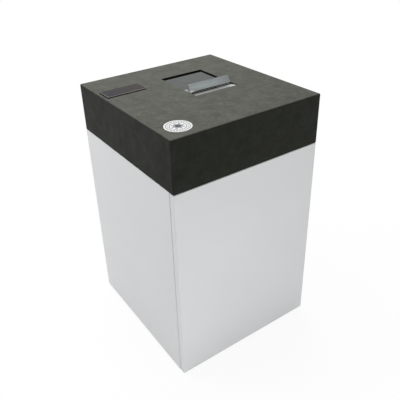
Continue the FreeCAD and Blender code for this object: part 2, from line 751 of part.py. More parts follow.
def make_flap():
    """Bent plate: flat over the throat, with its front edge turned up and back into a grip."""
    x = flap_x
    bend_y = flap_y[0] + FLAP_BEND + FLAP_SHEET
    bend_z = flap_top_z + FLAP_BEND
    outer = FLAP_BEND + FLAP_SHEET
    lean = math.radians(LIP_LEAN)
    turn_end = math.pi / 2 + lean
    turn_middle = turn_end / 2

    def at(radius, turn, along=0.0):
        y = bend_y - radius * math.sin(turn) + along * math.sin(lean)
        z = bend_z - radius * math.cos(turn) + along * math.cos(lean)
        return Vector(x[0], y, z)

    rear_low = Vector(x[0], flap_y[1], flap_low_z)
    rear_high = Vector(x[0], flap_y[1], flap_top_z)
    tip_middle = (at(outer, turn_end, LIP_LENGTH) + at(FLAP_BEND, turn_end, LIP_LENGTH)) / 2
    tip_middle = tip_middle + Vector(0, math.sin(lean), math.cos(lean)) * (FLAP_SHEET / 2)
    edges = [
        Part.LineSegment(rear_low, at(outer, 0)).toShape(),
        Part.Arc(at(outer, 0), at(outer, turn_middle), at(outer, turn_end)).toShape(),
        Part.LineSegment(at(outer, turn_end), at(outer, turn_end, LIP_LENGTH)).toShape(),
        Part.Arc(at(outer, turn_end, LIP_LENGTH), tip_middle, at(FLAP_BEND, turn_end, LIP_LENGTH)).toShape(),
        Part.LineSegment(at(FLAP_BEND, turn_end, LIP_LENGTH), at(FLAP_BEND, turn_end)).toShape(),
        Part.Arc(at(FLAP_BEND, turn_end), at(FLAP_BEND, turn_middle), at(FLAP_BEND, 0)).toShape(),
        Part.LineSegment(at(FLAP_BEND, 0), rear_high).toShape(),
        Part.LineSegment(rear_high, rear_low).toShape(),
    ]
    flap = Part.Face(Part.Wire(edges)).extrude(Vector(x[1] - x[0], 0, 0))

    def rear_corner(centre, ends):
        return runs_along("z", ends) and abs(centre.y - flap_y[1]) < 1e-6

    parts["feed_flap"] = rounded(flap, FLAP_CORNER, rear_corner)


def make_flap_hinge():
    """Butt hinge, closed: one leaf on the tray's floor, one under the flap, and the pin."""
    x = around(opening_middle_x, HINGE_WIDTH)
    third = HINGE_WIDTH / 3
    outer_spans = ((x[0], x[0] + third - KNUCKLE_GAP / 2), (x[1] - third + KNUCKLE_GAP / 2, x[1]))
    middle_span = (x[0] + third + KNUCKLE_GAP / 2, x[1] - third - KNUCKLE_GAP / 2)
    leaf_y = (hinge_y - HINGE_LEAF_LENGTH, hinge_y)
    short_y = (leaf_y[0], hinge_y - KNUCKLE_RADIUS - LEAF_SETBACK)
    low_z = (tray_floor_z, tray_floor_z + HINGE_LEAF)
    high_z = (flap_low_z - HINGE_LEAF, flap_low_z)
    bore = rod_x(HINGE_PIN_RADIUS + FIT, grown(x, PAST), hinge_y, hinge_z)

    fixed = [box(x, short_y, low_z)]
    for span in outer_spans:
        fixed.append(box(span, leaf_y, low_z))
        fixed.append(rod_x(KNUCKLE_RADIUS, span, hinge_y, hinge_z))
    parts["flap_hinge_fixed_leaf"] = joined(fixed).cut(bore)

    moving = [
        box(x, short_y, high_z),
        box(middle_span, leaf_y, high_z),
        rod_x(KNUCKLE_RADIUS, middle_span, hinge_y, hinge_z),
    ]
    parts["flap_hinge_moving_leaf"] = joined(moving).cut(bore)
    parts["flap_hinge_pin"] = rod_x(HINGE_PIN_RADIUS, grown(x, HINGE_PIN_END), hinge_y, hinge_z)


def make_rest_pads():
    """Rubber pads on the tray's floor that carry the flap's front corners."""
    y = (throat_y[0] + PAD_SETBACK, throat_y[0] + PAD_SETBACK + PAD_LENGTH)
    z = (tray_floor_z, flap_low_z)
    left = box((flap_x[0], throat_x[0] - PAD_GAP), y, z)
    right = box((throat_x[1] + PAD_GAP, flap_x[1]), y, z)
    parts["flap_rest_pads"] = Part.makeCompound([left, right])


def make_top_trim():
    x = (-half_width + PLATE_SIDE, -half_width + PLATE_SIDE + PLATE_LENGTH)
    y = (hood_rear_y - PLATE_REAR - PLATE_DEPTH, hood_rear_y - PLATE_REAR)
    plate = box(x, y, (top_z, top_z + PLATE_HEIGHT))
    top_edges = [edge for edge in plate.Edges if abs(edge.CenterOfMass.z - top_z - PLATE_HEIGHT) < 1e-6]
    parts["name_plate"] = plate.makeChamfer(PLATE_BEVEL, top_edges)
    disc_x = -half_width + DISC_SIDE
    disc_y = hood_front_y + DISC_FRONT
    parts["round_plaque"] = rod_z(DISC_RADIUS, disc_x, disc_y, (top_z, top_z + DISC_HEIGHT))


# Cutter block


def cutter_outline(x, turn):
    """Hooked disc: each hook has a steep face, a short land and a back that falls to the next root."""
    step = 360 / CUTTER_HOOKS
    land = step * CUTTER_LAND
    edges = []

    def at(radius, angle):
        y, z = polar(radius, angle + turn)
        return Vector(x, y, z)

    for hook in range(CUTTER_HOOKS):
        start = hook * step
        root = at(CUTTER_ROOT_RADIUS, start)
        tip = at(CUTTER_TIP_RADIUS, start)
        land_middle = at(CUTTER_TIP_RADIUS, start + land / 2)
        land_end = at(CUTTER_TIP_RADIUS, start + land)
        back = at((CUTTER_ROOT_RADIUS + CUTTER_TIP_RADIUS) / 2, start + step * CUTTER_BACK_AT)
        next_root = at(CUTTER_ROOT_RADIUS, start + step)
        edges.append(Part.LineSegment(root, tip).toShape())
        edges.append(Part.Arc(tip, land_middle, land_end).toShape())
        edges.append(Part.Arc(land_end, back, next_root).toShape())
    return Part.Face(Part.Wire(edges))


def hexagon(across_flats, x, y, z):
    corners = []
    for k in range(HEX_SIDES):
        dy, dz = polar(across_flats / math.sqrt(3), 360 * k / HEX_SIDES)
        corners.append((y + dy, z + dz))
    return prism_x(corners, x)


def make_shaft_set(name, y, offset):
    """One cutter shaft with its discs and spacers; offset shifts the discs along X by half a pitch."""
    bore_x = grown(block_x, PAST)
    discs = []
    spacers = []
    edge_x = block_x[0] + CUTTER_SIDE_GAP / 2
    ends = [block_x[0] + CUTTER_SIDE_GAP]
    for i in range(CUTTER_COUNT):
        disc_x = edge_x + (i + offset) * cutter_pitch
        disc = cutter_outline(disc_x, i * CUTTER_STAGGER).extrude(Vector(cutter_width, 0, 0))
        disc.translate(Vector(0, y, cutter_z))
        discs.append(disc.cut(hexagon(SHAFT_HEX + 2 * FIT, bore_x, y, cutter_z)))
        ends += [disc_x, disc_x + cutter_width]
    ends.append(block_x[1] - CUTTER_SIDE_GAP)
    for low, high in zip(ends[0::2], ends[1::2]):
        if high - low > CUTTER_SIDE_GAP:
            ring = rod_x(spacer_radius, (low, high), y, cutter_z)
            spacers.append(ring.cut(hexagon(SHAFT_HEX + 2 * FIT, bore_x, y, cutter_z)))
    parts[name + "_cutter_discs"] = Part.makeCompound(discs)
    parts[name + "_spacers"] = Part.makeCompound(spacers)
    hex_bar = hexagon(SHAFT_HEX, grown(block_x, -CUTTER_SIDE_GAP), y, cutter_z)
    journal = rod_x(JOURNAL_RADIUS, (gear_x[0] - SHAFT_END, plate_x[1] + SHAFT_END), y, cutter_z)
    collar = rod_x(JOURNAL_RADIUS + SHAFT_END / 2, (gear_x[1], plate_x[0] - END_GAP), y, cutter_z)
    parts[name + "_cutter_shaft"] = joined([hex_bar, journal, collar])


def bolt_places():
    zs = (cutter_z - BOLT_SPREAD, cutter_z + BOLT_SPREAD)
    ys = ((wall_y[0] + block_y[0]) / 2, (wall_y[1] + block_y[1]) / 2)
    return [(y, z) for y in ys for z in zs]


def make_block_frame():
    seats = [rod_x(BEARING_RADIUS + FIT, grown(plate_x, PAST), y, cutter_z) for y in shaft_y]
    holes = [rod_x(BOLT_RADIUS + BOLT_CLEARANCE, grown(plate_x, PAST), y, z) for y, z in bolt_places()]
    z = (deck_top_z, block_top_z)
    right = box((block_x[1], plate_x[1]), wall_y, z)
    parts["bearing_side_plate"] = right.cut(Part.makeCompound(seats + holes))

    front_y = motor_y - GEARHEAD_RADIUS - GEARHEAD_STEP
    step_y = wall_y[0] - END_GAP
    idler_y, idler_z = idler_place()
    high_z = idler_z + PLATE_EDGE
    outline = [
        (front_y, z[0]),
        (wall_y[1], z[0]),
        (wall_y[1], z[1]),
        (step_y, z[1]),
        (step_y, high_z),
        (front_y, high_z),
    ]
    left = prism_x(outline, (plate_x[0], block_x[0]))
    holes.append(rod_x(STUD_RADIUS + FIT, grown(plate_x, PAST), idler_y, idler_z))
    holes.append(rod_x(OUTPUT_HOLE, grown(plate_x, PAST), motor_y, motor_z))
    parts["gear_side_plate"] = left.cut(Part.makeCompound(seats + holes))

    walls = []
    for y in ((wall_y[0], block_y[0]), (block_y[1], wall_y[1])):
        walls.append(box(block_x, y, z).cut(Part.makeCompound(holes)))
    parts["block_walls"] = Part.makeCompound(walls)

    bolts = []
    for y, bolt_z in bolt_places():
        for face, way in ((plate_x[0], 1), (plate_x[1], -1)):
            start = Vector(face, y, bolt_z)
            head = Part.makeCylinder(BOLT_HEAD_RADIUS, BOLT_HEAD_HEIGHT, start, Vector(-way, 0, 0))
            shank = Part.makeCylinder(BOLT_RADIUS, BOLT_LENGTH, start, Vector(way, 0, 0))
            bolts.append(joined([head, shank]))
    parts["block_bolts"] = Part.makeCompound(bolts)

    bearings = []
    for y in shaft_y:
        for x in ((plate_x[0], block_x[0]), (block_x[1], plate_x[1])):
            ring = rod_x(BEARING_RADIUS, x, y, cutter_z)
            bearings.append(ring.cut(rod_x(JOURNAL_RADIUS + FIT, grown(x, PAST), y, cutter_z)))
    parts["shaft_bearings"] = Part.makeCompound(bearings)


def make_combs():
    """Fingers that stand between the discs of each shaft, on a bar along each block wall."""
    combs = []
    for y, wall, way, offset in ((shaft_y[0], block_y[0], 1, 0.0), (shaft_y[1], block_y[1], -1, 0.5)):
        bar_y = sorted((wall, wall + way * COMB_BAR))
        bar_z = (cutter_z - COMB_BAR_DROP - COMB_BAR, cutter_z - COMB_BAR_DROP)
        pieces = [box(grown(block_x, -CUTTER_SIDE_GAP), bar_y, bar_z)]
        reach_y = sorted((wall, wall + way * COMB_REACH))
        for i in range(CUTTER_COUNT - 1):
            disc_x = block_x[0] + CUTTER_SIDE_GAP / 2 + (i + offset) * cutter_pitch
            finger_x = (disc_x + cutter_width + COMB_GAP, disc_x + cutter_pitch - COMB_GAP)
            pieces.append(box(finger_x, reach_y, (bar_z[0], cutter_z + COMB_RISE)))
        comb = joined(pieces)
        combs.append(comb.cut(rod_x(spacer_radius + COMB_GAP, grown(block_x, PAST), y, cutter_z)))
    parts["cleaning_combs"] = Part.makeCompound(combs)


def make_discharge():
    outer_x = grown(block_x, CHUTE_SHEET)
    outer_y = grown(block_y, CHUTE_SHEET)
    z = (deck_low_z - DISCHARGE_LENGTH, deck_low_z)
    flange_z = (z[1] - CHUTE_SHEET, z[1])
    flange = box(grown(outer_x, DISCHARGE_FLANGE), grown(outer_y, DISCHARGE_FLANGE), flange_z)
    duct = joined([box(outer_x, outer_y, z), flange])
    parts["discharge_chute"] = duct.cut(box(block_x, block_y, grown(z, PAST)))


# Gear train and motor


def idler_place():
    """Centre of the idler gear: above the line from the motor's pinion to the front shaft."""
    near = gear_module * (PINION_TEETH + IDLER_TEETH) / 2
    far = gear_module * (IDLER_TEETH + SYNC_TEETH) / 2
    dy = shaft_y[0] - motor_y
    dz = cutter_z - motor_z
    apart = math.hypot(dy, dz)
    along = (apart**2 + near**2 - far**2) / (2 * apart)
    rise = math.sqrt(near**2 - along**2)
    y = motor_y + (dy * along - dz * rise) / apart
    z = motor_z + (dz * along + dy * rise) / apart
    return (y, z)


def meshing_turn(teeth, turn, place, next_teeth, next_place):
    """Turn of the next gear, in degrees, that puts its gap on this gear's tooth."""
    line = math.degrees(math.atan2(next_place[1] - place[1], next_place[0] - place[0]))
    part_tooth = ((line - turn) * teeth / 360) % 1
    next_part = 0.5 - part_tooth
    return line + 180 - next_part * 360 / next_teeth


def gear(teeth, place, turn, bore):
    """Involute spur gear along X, thinned by the backlash, with a round bore."""
    pitch_radius = gear_module * teeth / 2
    base_radius = pitch_radius * math.cos(math.radians(PRESSURE_ANGLE))
    tip_radius = pitch_radius + gear_module
    root_radius = pitch_radius - ROOT_DEPTH * gear_module
    slope = math.radians(PRESSURE_ANGLE)
    half_tooth = math.pi / 2 / teeth - BACKLASH / 2 / pitch_radius + math.tan(slope) - slope
    start_radius = max(base_radius, root_radius)
    edges = []

    def at(radius, angle):
        y, z = polar(radius, math.degrees(angle) + turn)
        return Vector(gear_x[0], place[0] + y, place[1] + z)

    def flank_angle(radius):
        roll = math.acos(min(1.0, base_radius / radius))
        return half_tooth - (math.tan(roll) - roll)

    flank_rise = (tip_radius - start_radius) / FLANK_STEPS
    radii = [start_radius + flank_rise * i for i in range(FLANK_STEPS + 1)]
    for tooth in range(teeth):
        middle = 2 * math.pi * tooth / teeth
        rising = [at(radius, middle - flank_angle(radius)) for radius in radii]
        falling = [at(radius, middle + flank_angle(radius)) for radius in reversed(radii)]
        root_start = at(root_radius, middle - flank_angle(start_radius))
        root_end = at(root_radius, middle + flank_angle(start_radius))
        next_start = at(root_radius, middle + 2 * math.pi / teeth - flank_angle(start_radius))
        if start_radius > root_radius:
            edges.append(Part.LineSegment(root_start, rising[0]).toShape())
        for flank in (rising, falling):
            if flank is falling:
                edges.append(Part.Arc(rising[-1], at(tip_radius, middle), falling[0]).toShape())
            curve = Part.BSplineCurve()
            curve.interpolate(flank)
            edges.append(curve.toShape())
        if start_radius > root_radius:
            edges.append(Part.LineSegment(falling[-1], root_end).toShape())
        edges.append(Part.Arc(root_end, at(root_radius, middle + math.pi / teeth), next_start).toShape())
    blank = Part.Face(Part.Wire(edges)).extrude(Vector(GEAR_WIDTH, 0, 0))
    return blank.cut(rod_x(bore, grown(gear_x, PAST), place[0], place[1]))


def make_gears():
    front = (shaft_y[0], cutter_z)
    rear = (shaft_y[1], cutter_z)
    idler = idler_place()
    pinion = (motor_y, motor_z)
    front_turn = 0.0
    rear_turn = meshing_turn(SYNC_TEETH, front_turn, front, SYNC_TEETH, rear)
    idler_turn = meshing_turn(SYNC_TEETH, front_turn, front, IDLER_TEETH, idler)
    pinion_turn = meshing_turn(IDLER_TEETH, idler_turn, idler, PINION_TEETH, pinion)
    parts["front_sync_gear"] = gear(SYNC_TEETH, front, front_turn, JOURNAL_RADIUS + FIT)
    parts["rear_sync_gear"] = gear(SYNC_TEETH, rear, rear_turn, JOURNAL_RADIUS + FIT)
    parts["idler_gear"] = gear(IDLER_TEETH, idler, idler_turn, STUD_RADIUS + FIT)
    parts["drive_pinion"] = gear(PINION_TEETH, pinion, pinion_turn, OUTPUT_RADIUS + FIT)

    head = rod_x(STUD_HEAD_RADIUS, (gear_x[0] - STUD_HEAD - END_GAP, gear_x[0] - END_GAP), *idler)
    stud = rod_x(STUD_RADIUS, (gear_x[0] - STUD_HEAD, block_x[0]), *idler)
    collar = rod_x(STUD_HEAD_RADIUS, (gear_x[1] + END_GAP, plate_x[0]), *idler)
    parts["idler_stud"] = joined([head, stud, collar])

    shaft = rod_x(OUTPUT_RADIUS, (gear_x[0] - SHAFT_END, gearhead_x[0] + OUTPUT_DEPTH), *pinion)
    parts["output_shaft"] = shaft


def make_gearhead():
    flange_x = (gearhead_x[0], gearhead_x[0] + GEARHEAD_FLANGE)
    flange = rod_x(GEARHEAD_RADIUS, flange_x, motor_y, motor_z)
    body = rod_x(GEARHEAD_RADIUS - GEARHEAD_STEP, (flange_x[1], gearhead_x[1]), motor_y, motor_z)
    bore_x = (gearhead_x[0] - PAST, gearhead_x[0] + OUTPUT_DEPTH + END_GAP)
    bore = rod_x(OUTPUT_RADIUS + FIT, bore_x, motor_y, motor_z)
    parts["gearhead"] = joined([flange, body]).cut(bore)


def make_motor():
    core = rod_x(MOTOR_RADIUS, motor_x, motor_y, motor_z)
    reach = MOTOR_RADIUS + FIN_HEIGHT
    fin_x = grown(motor_x, -FIN_HEIGHT)
    pieces = [core]
    for k in range(FIN_COUNT):
        fin = box(fin_x, (motor_y, motor_y + reach), around(motor_z, FIN_THICKNESS))
        fin.rotate(Vector(0, motor_y, motor_z), Vector(1, 0, 0), 360 * (k + 0.5) / FIN_COUNT)
        pieces.append(fin)
    body = joined(pieces)
    lid_z = terminal_low_z + TERMINAL_HEIGHT
    seat = box(terminal_x, around(motor_y, TERMINAL_WIDTH), (terminal_low_z, lid_z))
    saddle_z = (deck_top_z, deck_top_z + CRADLE_HEIGHT + CRADLE_SIDES)
    saddle_x = around(motor_middle_x, CRADLE_LENGTH)
    saddle = box(saddle_x, around(motor_y, CRADLE_WIDTH), saddle_z)
    hollow = rod_x(reach + FIT, grown(motor_x, PAST), motor_y, motor_z)
    parts["motor_cradle"] = saddle.cut(hollow)
    hole_x = (motor_x[1] - OUTPUT_DEPTH, motor_x[1] + PAST)
    shaft_hole = rod_x(FAN_SHAFT_RADIUS + FIT, hole_x, motor_y, motor_z)
    parts["motor_housing"] = body.cut(seat).cut(shaft_hole)

    lid_y = grown(around(motor_y, TERMINAL_WIDTH), TERMINAL_LIP)
    lid = box(grown(terminal_x, TERMINAL_LIP), lid_y, (lid_z - TERMINAL_LID, lid_z))
    gland = rod_y(
        GLAND_RADIUS,
        motor_middle_x,
        (motor_y + TERMINAL_WIDTH / 2, motor_y + TERMINAL_WIDTH / 2 + GLAND_LENGTH),
        terminal_low_z + TERMINAL_HEIGHT / 2,
    )
    parts["terminal_box"] = joined([seat, lid, gland])


def make_fan():
    outer = rod_x(MOTOR_RADIUS, cowl_x, motor_y, motor_z)
    inside = rod_x(MOTOR_RADIUS - COWL_SHEET, (cowl_x[0] - PAST, cowl_x[1] - COWL_SHEET), motor_y, motor_z)
    cowl = outer.cut(inside)
    slots = []
    slot_reach = (FAN_HUB_RADIUS, MOTOR_RADIUS - COWL_SLOT_EDGE)
    for k in range(COWL_SLOTS):
        slot = box(
            (cowl_x[1] - 2 * COWL_SHEET, cowl_x[1] + PAST),
            (motor_y + slot_reach[0], motor_y + slot_reach[1]),
            around(motor_z, COWL_SLOT_WIDTH),
        )
        slot.rotate(Vector(0, motor_y, motor_z), Vector(1, 0, 0), 360 * k / COWL_SLOTS)
        slots.append(slot)
    parts["fan_cowl"] = cowl.cut(Part.makeCompound(slots))

    hub_x = (cowl_x[0] + FAN_END_GAP, cowl_x[0] + FAN_END_GAP + FAN_WIDTH)
    pieces = [
        rod_x(FAN_HUB_RADIUS, hub_x, motor_y, motor_z),
        rod_x(FAN_SHAFT_RADIUS, (motor_x[1] - OUTPUT_DEPTH + END_GAP, hub_x[1]), motor_y, motor_z),
        rod_x(FAN_RADIUS, (hub_x[0], hub_x[0] + FAN_BLADE), motor_y, motor_z),
    ]
    for k in range(FAN_BLADES):
        blade = box(hub_x, (motor_y + FAN_HUB_RADIUS / 2, motor_y + FAN_RADIUS), around(motor_z, FAN_BLADE))
        blade.rotate(Vector(0, motor_y, motor_z), Vector(1, 0, 0), 360 * k / FAN_BLADES)
        pieces.append(blade)
    parts["cooling_fan"] = joined(pieces)


def make_control_box():
    z = (deck_top_z, box_top_z)
    body = bar(box_x, box_y, z, BOX_CORNER, "z")
    gland_x, gland_y = box_gland_place()
    gland = rod_z(GLAND_RADIUS, gland_x, gland_y, (box_top_z, box_top_z + GLAND_LENGTH))
    parts["control_box"] = joined([body, gland])


def box_gland_place():
    return ((box_x[0] + box_x[1]) / 2, box_y[0] + GLAND_SETBACK)


def make_motor_lead():
    """Lead from the terminal box to the control box: straight runs joined by tangent arcs."""
    start = Vector(
        motor_middle_x,
        motor_y + TERMINAL_WIDTH / 2 + GLAND_LENGTH,
        terminal_low_z + TERMINAL_HEIGHT / 2,
    )
    gland_x, gland_y = box_gland_place()
    end = Vector(gland_x, gland_y, box_top_z + GLAND_LENGTH)
    lift = start.z + GLAND_LENGTH
    points = [
        start,
        start + Vector(0, LEAD_RUN_OUT, 0),
        Vector((start.x + end.x) / 2 + LEAD_SWING, (start.y + end.y) / 2, lift),
        Vector(end.x, end.y, lift),
        end,
    ]
    edges = []
    last = points[0]
    for before, corner, after in zip(points, points[1:], points[2:]):
        into = (before - corner).normalize()
        out = (after - corner).normalize()
        trim = LEAD_TRIM * min((before - corner).Length, (after - corner).Length)
        first = corner + into * trim
        second = corner + out * trim
        half_turn = (math.pi - into.getAngle(out)) / 2
        radius = trim / math.tan(half_turn)
        bisector = (into + out).normalize()
        centre = corner + bisector * (radius / math.cos(half_turn))
        middle = centre - bisector * radius
        edges.append(Part.LineSegment(last, first).toShape())
        edges.append(Part.Arc(first, middle, second).toShape())
        last = second
    edges.append(Part.LineSegment(last, points[-1]).toShape())
    path = Part.Wire(edges)
    ring = Part.Wire(Part.makeCircle(LEAD_RADIUS, start, Vector(0, 1, 0)))
    parts["motor_lead"] = path.makePipeShell([ring], True, False)


# Controls


def button_ys():
    """Middle of the lamp and of the start, reverse and stop buttons along the pocket."""
    first_y = pocket_y - (BUTTON_PLACES - 1) * BUTTON_PITCH / 2
    return [first_y + i * BUTTON_PITCH for i in range(BUTTON_PLACES)]


def make_pocket():
    length = around(pocket_y, POCKET_LENGTH)
    height = around(pocket_z, POCKET_HEIGHT)
    body_x = (pocket_back_x, pocket_rim_x)
    body = bar(body_x, grown(length, POCKET_WALL), grown(height, POCKET_WALL), POCKET_CORNER, "x")
    rim_x = (pocket_rim_x - POCKET_WALL, pocket_rim_x)
    rim = bar(rim_x, grown(length, POCKET_RIM), grown(height, POCKET_RIM), POCKET_CORNER, "x")
    cavity = bar((pocket_floor_x, pocket_rim_x + PAST), length, height, POCKET_CORNER, "x")
    pocket = joined([body, rim]).cut(cavity)
    lamp_y, *others = button_ys()
    through_x = grown((pocket_back_x, pocket_floor_x), PAST)
    holes = [rod_x(BEZEL_NECK + POCKET_FIT, through_x, y, pocket_z) for y in others]
    holes.append(rod_x(LAMP_NECK + POCKET_FIT, through_x, lamp_y, pocket_z))
    parts["control_pocket"] = pocket.cut(Part.makeCompound(holes))


def make_buttons():
    lamp_y, *others = button_ys()
    bore_depth = BUTTON_TRAVEL + BUTTON_STEM + BUTTON_CLEARANCE
    switches = []
    for name, y in zip(("start_button", "reverse_button", "stop_button"), others):
        block_span = (pocket_back_x - SWITCH_DEPTH, pocket_back_x)
        block = box(block_span, around(y, SWITCH_SIZE), around(pocket_z, SWITCH_SIZE))
        neck = rod_x(BEZEL_NECK, (pocket_back_x, pocket_floor_x + BEZEL_HEIGHT), y, pocket_z)
        ring = rod_x(BEZEL_RADIUS, (pocket_floor_x, pocket_floor_x + BEZEL_HEIGHT), y, pocket_z)
        bore = rod_x(BUTTON_RADIUS + BUTTON_CLEARANCE, (pocket_floor_x - bore_depth, half_width), y, pocket_z)
        switches.append(joined([block, neck, ring]).cut(bore))
        cap_x = (pocket_floor_x - BUTTON_STEM, pocket_floor_x + BUTTON_PROUD)
        cap = rod_x(BUTTON_RADIUS, cap_x, y, pocket_z)
        parts[name] = rounded(cap, BUTTON_EDGE, lambda centre, ends: abs(centre.x - cap_x[1]) < 1e-6)
    parts["button_switches"] = Part.makeCompound(switches)
    lens_top_x = pocket_floor_x + LAMP_PROUD
    lens = rod_x(LAMP_RADIUS, (pocket_floor_x, lens_top_x), lamp_y, pocket_z)
    lens = rounded(lens, LAMP_DOME, lambda centre, ends: abs(centre.x - lens_top_x) < 1e-6)
    neck = rod_x(LAMP_NECK, (pocket_back_x - SWITCH_DEPTH / 2, pocket_floor_x), lamp_y, pocket_z)
    parts["pilot_lamp"] = joined([lens, neck])


def rocker_pivot():
    return (rear_outer_y + INLET_PLATE - ROCKER_PIVOT_DEPTH, inlet_z + ROCKER_RISE)


def make_inlet():
    """Appliance inlet: a socket with three blades below, a well for the rocker above."""
    face_y = rear_outer_y + INLET_PLATE
    plate = bar(
        around(inlet_x, INLET_WIDTH), (rear_outer_y, face_y), around(inlet_z, INLET_HEIGHT), INLET_CORNER, "y"
    )
    body = box(
        around(inlet_x, INLET_WIDTH - 2 * INLET_FLANGE),
        (rear_outer_y - INLET_DEPTH, rear_outer_y),
        around(inlet_z, INLET_HEIGHT - 2 * INLET_FLANGE),
    )
    socket_z = inlet_z - SOCKET_DROP
    socket_x = around(inlet_x, SOCKET_WIDTH)
    socket = box(socket_x, (face_y - SOCKET_DEPTH, face_y + PAST), around(socket_z, SOCKET_HEIGHT))
    socket = rounded(socket, INLET_CORNER, lambda centre, ends: runs_along("y", ends))
    pivot_y, pivot_z = rocker_pivot()
    well = box(
        around(inlet_x, ROCKER_WIDTH + 2 * ROCKER_SIDE_GAP),
        (pivot_y - ROCKER_SINK, face_y + PAST),
        around(pivot_z, 2 * (ROCKER_HALF + ROCKER_GAP)),
    )
    pin_hole_x = around(inlet_x, ROCKER_WIDTH + 2 * (ROCKER_PIN_LENGTH + ROCKER_SIDE_GAP))
    pin_hole = rod_x(ROCKER_PIN_RADIUS + FIT, pin_hole_x, pivot_y, pivot_z)
    module = joined([plate, body]).cut(socket).cut(well).cut(pin_hole)
    blades = []
    for step, rise in ((-1, 0), (0, 1), (1, 0)):
        blade = box(
            around(inlet_x + step * PIN_PITCH, PIN_WIDTH),
            (face_y - SOCKET_DEPTH - PIN_ROOT, face_y - SOCKET_DEPTH + PIN_LENGTH),
            around(socket_z + PIN_HEIGHT / 2 + rise * PIN_HEIGHT / 2, PIN_HEIGHT),
        )
        blades.append(blade)
    parts["power_inlet"] = joined([module] + blades)


def make_rocker():
    """Rocker with a shallow V face on two pivot pins, built tipped to its off position."""
    pivot_y, pivot_z = rocker_pivot()
    high = ROCKER_PIVOT_DEPTH + ROCKER_PROUD
    low = -ROCKER_BELOW
    outline = [
        (pivot_y + low, pivot_z - ROCKER_HALF),
        (pivot_y + high, pivot_z - ROCKER_HALF),
        (pivot_y + high - ROCKER_DISH, pivot_z),
        (pivot_y + high, pivot_z + ROCKER_HALF),
        (pivot_y + low, pivot_z + ROCKER_HALF),
    ]
    rocker = prism_x(outline, around(inlet_x, ROCKER_WIDTH))
    rocker.rotate(Vector(0, pivot_y, pivot_z), Vector(1, 0, 0), -ROCKER_TILT)
    pin_x = around(inlet_x, ROCKER_WIDTH + 2 * ROCKER_PIN_LENGTH)
    pins = rod_x(ROCKER_PIN_RADIUS, pin_x, pivot_y, pivot_z)
    parts["power_rocker"] = joined([rocker, pins])


# Waste drawer


def make_front_panel():
    x = (-cabinet_x, cabinet_x)
    y = (cabinet_front_y, panel_back_y)
    z = (cabinet_low_z, cabinet_top_z - FRONT_PANEL_TOP_GAP)
    blank = box(x, y, z)
    blank = rounded(blank, CABINET_BEND, lambda centre, ends: centre.y < y[1] - 1e-6)
    inside = box(grown(x, -CABINET_SHEET), (y[0] + CABINET_SHEET, y[1] + PAST), grown(z, -CABINET_SHEET))
    inside = rounded(inside, inner_bend, lambda centre, ends: centre.y < y[1] + PAST - 1e-6)
    parts["front_panel"] = blank.cut(inside)
    margin = CABINET_SHEET + BACKING_GAP
    backing_y = (y[1] - BACKING_SHEET, y[1])
    parts["front_panel_backing"] = bar(grown(x, -margin), backing_y, grown(z, -margin), inner_bend, "y")


def channel(web_x, tip_x, half_height):
    """Runner member: a web at one side and a flange at its top and bottom, along the runner's length."""
    reach = (min(web_x, tip_x), max(web_x, tip_x))
    member = box(reach, runner_y, around(RUNNER_MIDDLE_Z, 2 * half_height))
    web_side = RUNNER_SHEET if web_x < tip_x else -RUNNER_SHEET
    hollow_x = sorted((web_x + web_side, tip_x + math.copysign(PAST, web_side)))
    hollow = box(hollow_x, grown(runner_y, PAST), around(RUNNER_MIDDLE_Z, 2 * (half_height - RUNNER_SHEET)))
    return member.cut(hollow)


def make_runners():
    """Three nested channels on each side; the middle one travels half as far as the drawer."""
    step = RUNNER_SHEET + RUNNER_PLAY
    half = RUNNER_HEIGHT / 2
    outer = channel(runner_outer_x, drawer_side_x + RUNNER_SHEET + RUNNER_PLAY, half)
    middle = channel(runner_outer_x - step, drawer_side_x + RUNNER_SHEET + RUNNER_PLAY, half - step)
    inner = channel(drawer_side_x, runner_outer_x - 2 * step, half - 2 * step)
    parts["runner_outer"] = Part.makeCompound([outer, mirrored_x(outer)])
    parts["runner_middle"] = Part.makeCompound([middle, mirrored_x(middle)])
    parts["runner_inner"] = Part.makeCompound([inner, mirrored_x(inner)])


def make_drawer_tray():
    x = (-drawer_side_x, drawer_side_x)
    inside_x = grown(x, -DRAWER_SHEET)
    inside_y = grown(drawer_y, -DRAWER_SHEET)
    tray = box(x, drawer_y, (DRAWER_FLOOR_Z, DRAWER_WALL_TOP))
    front = box(x, (drawer_y[0], drawer_y[0] + DRAWER_SHEET), (DRAWER_FLOOR_Z, DRAWER_FRONT_TOP))
    tray = joined([tray, front])
    parts["drawer_tray"] = tray.cut(box(inside_x, inside_y, (bin_low_z, top_z)))


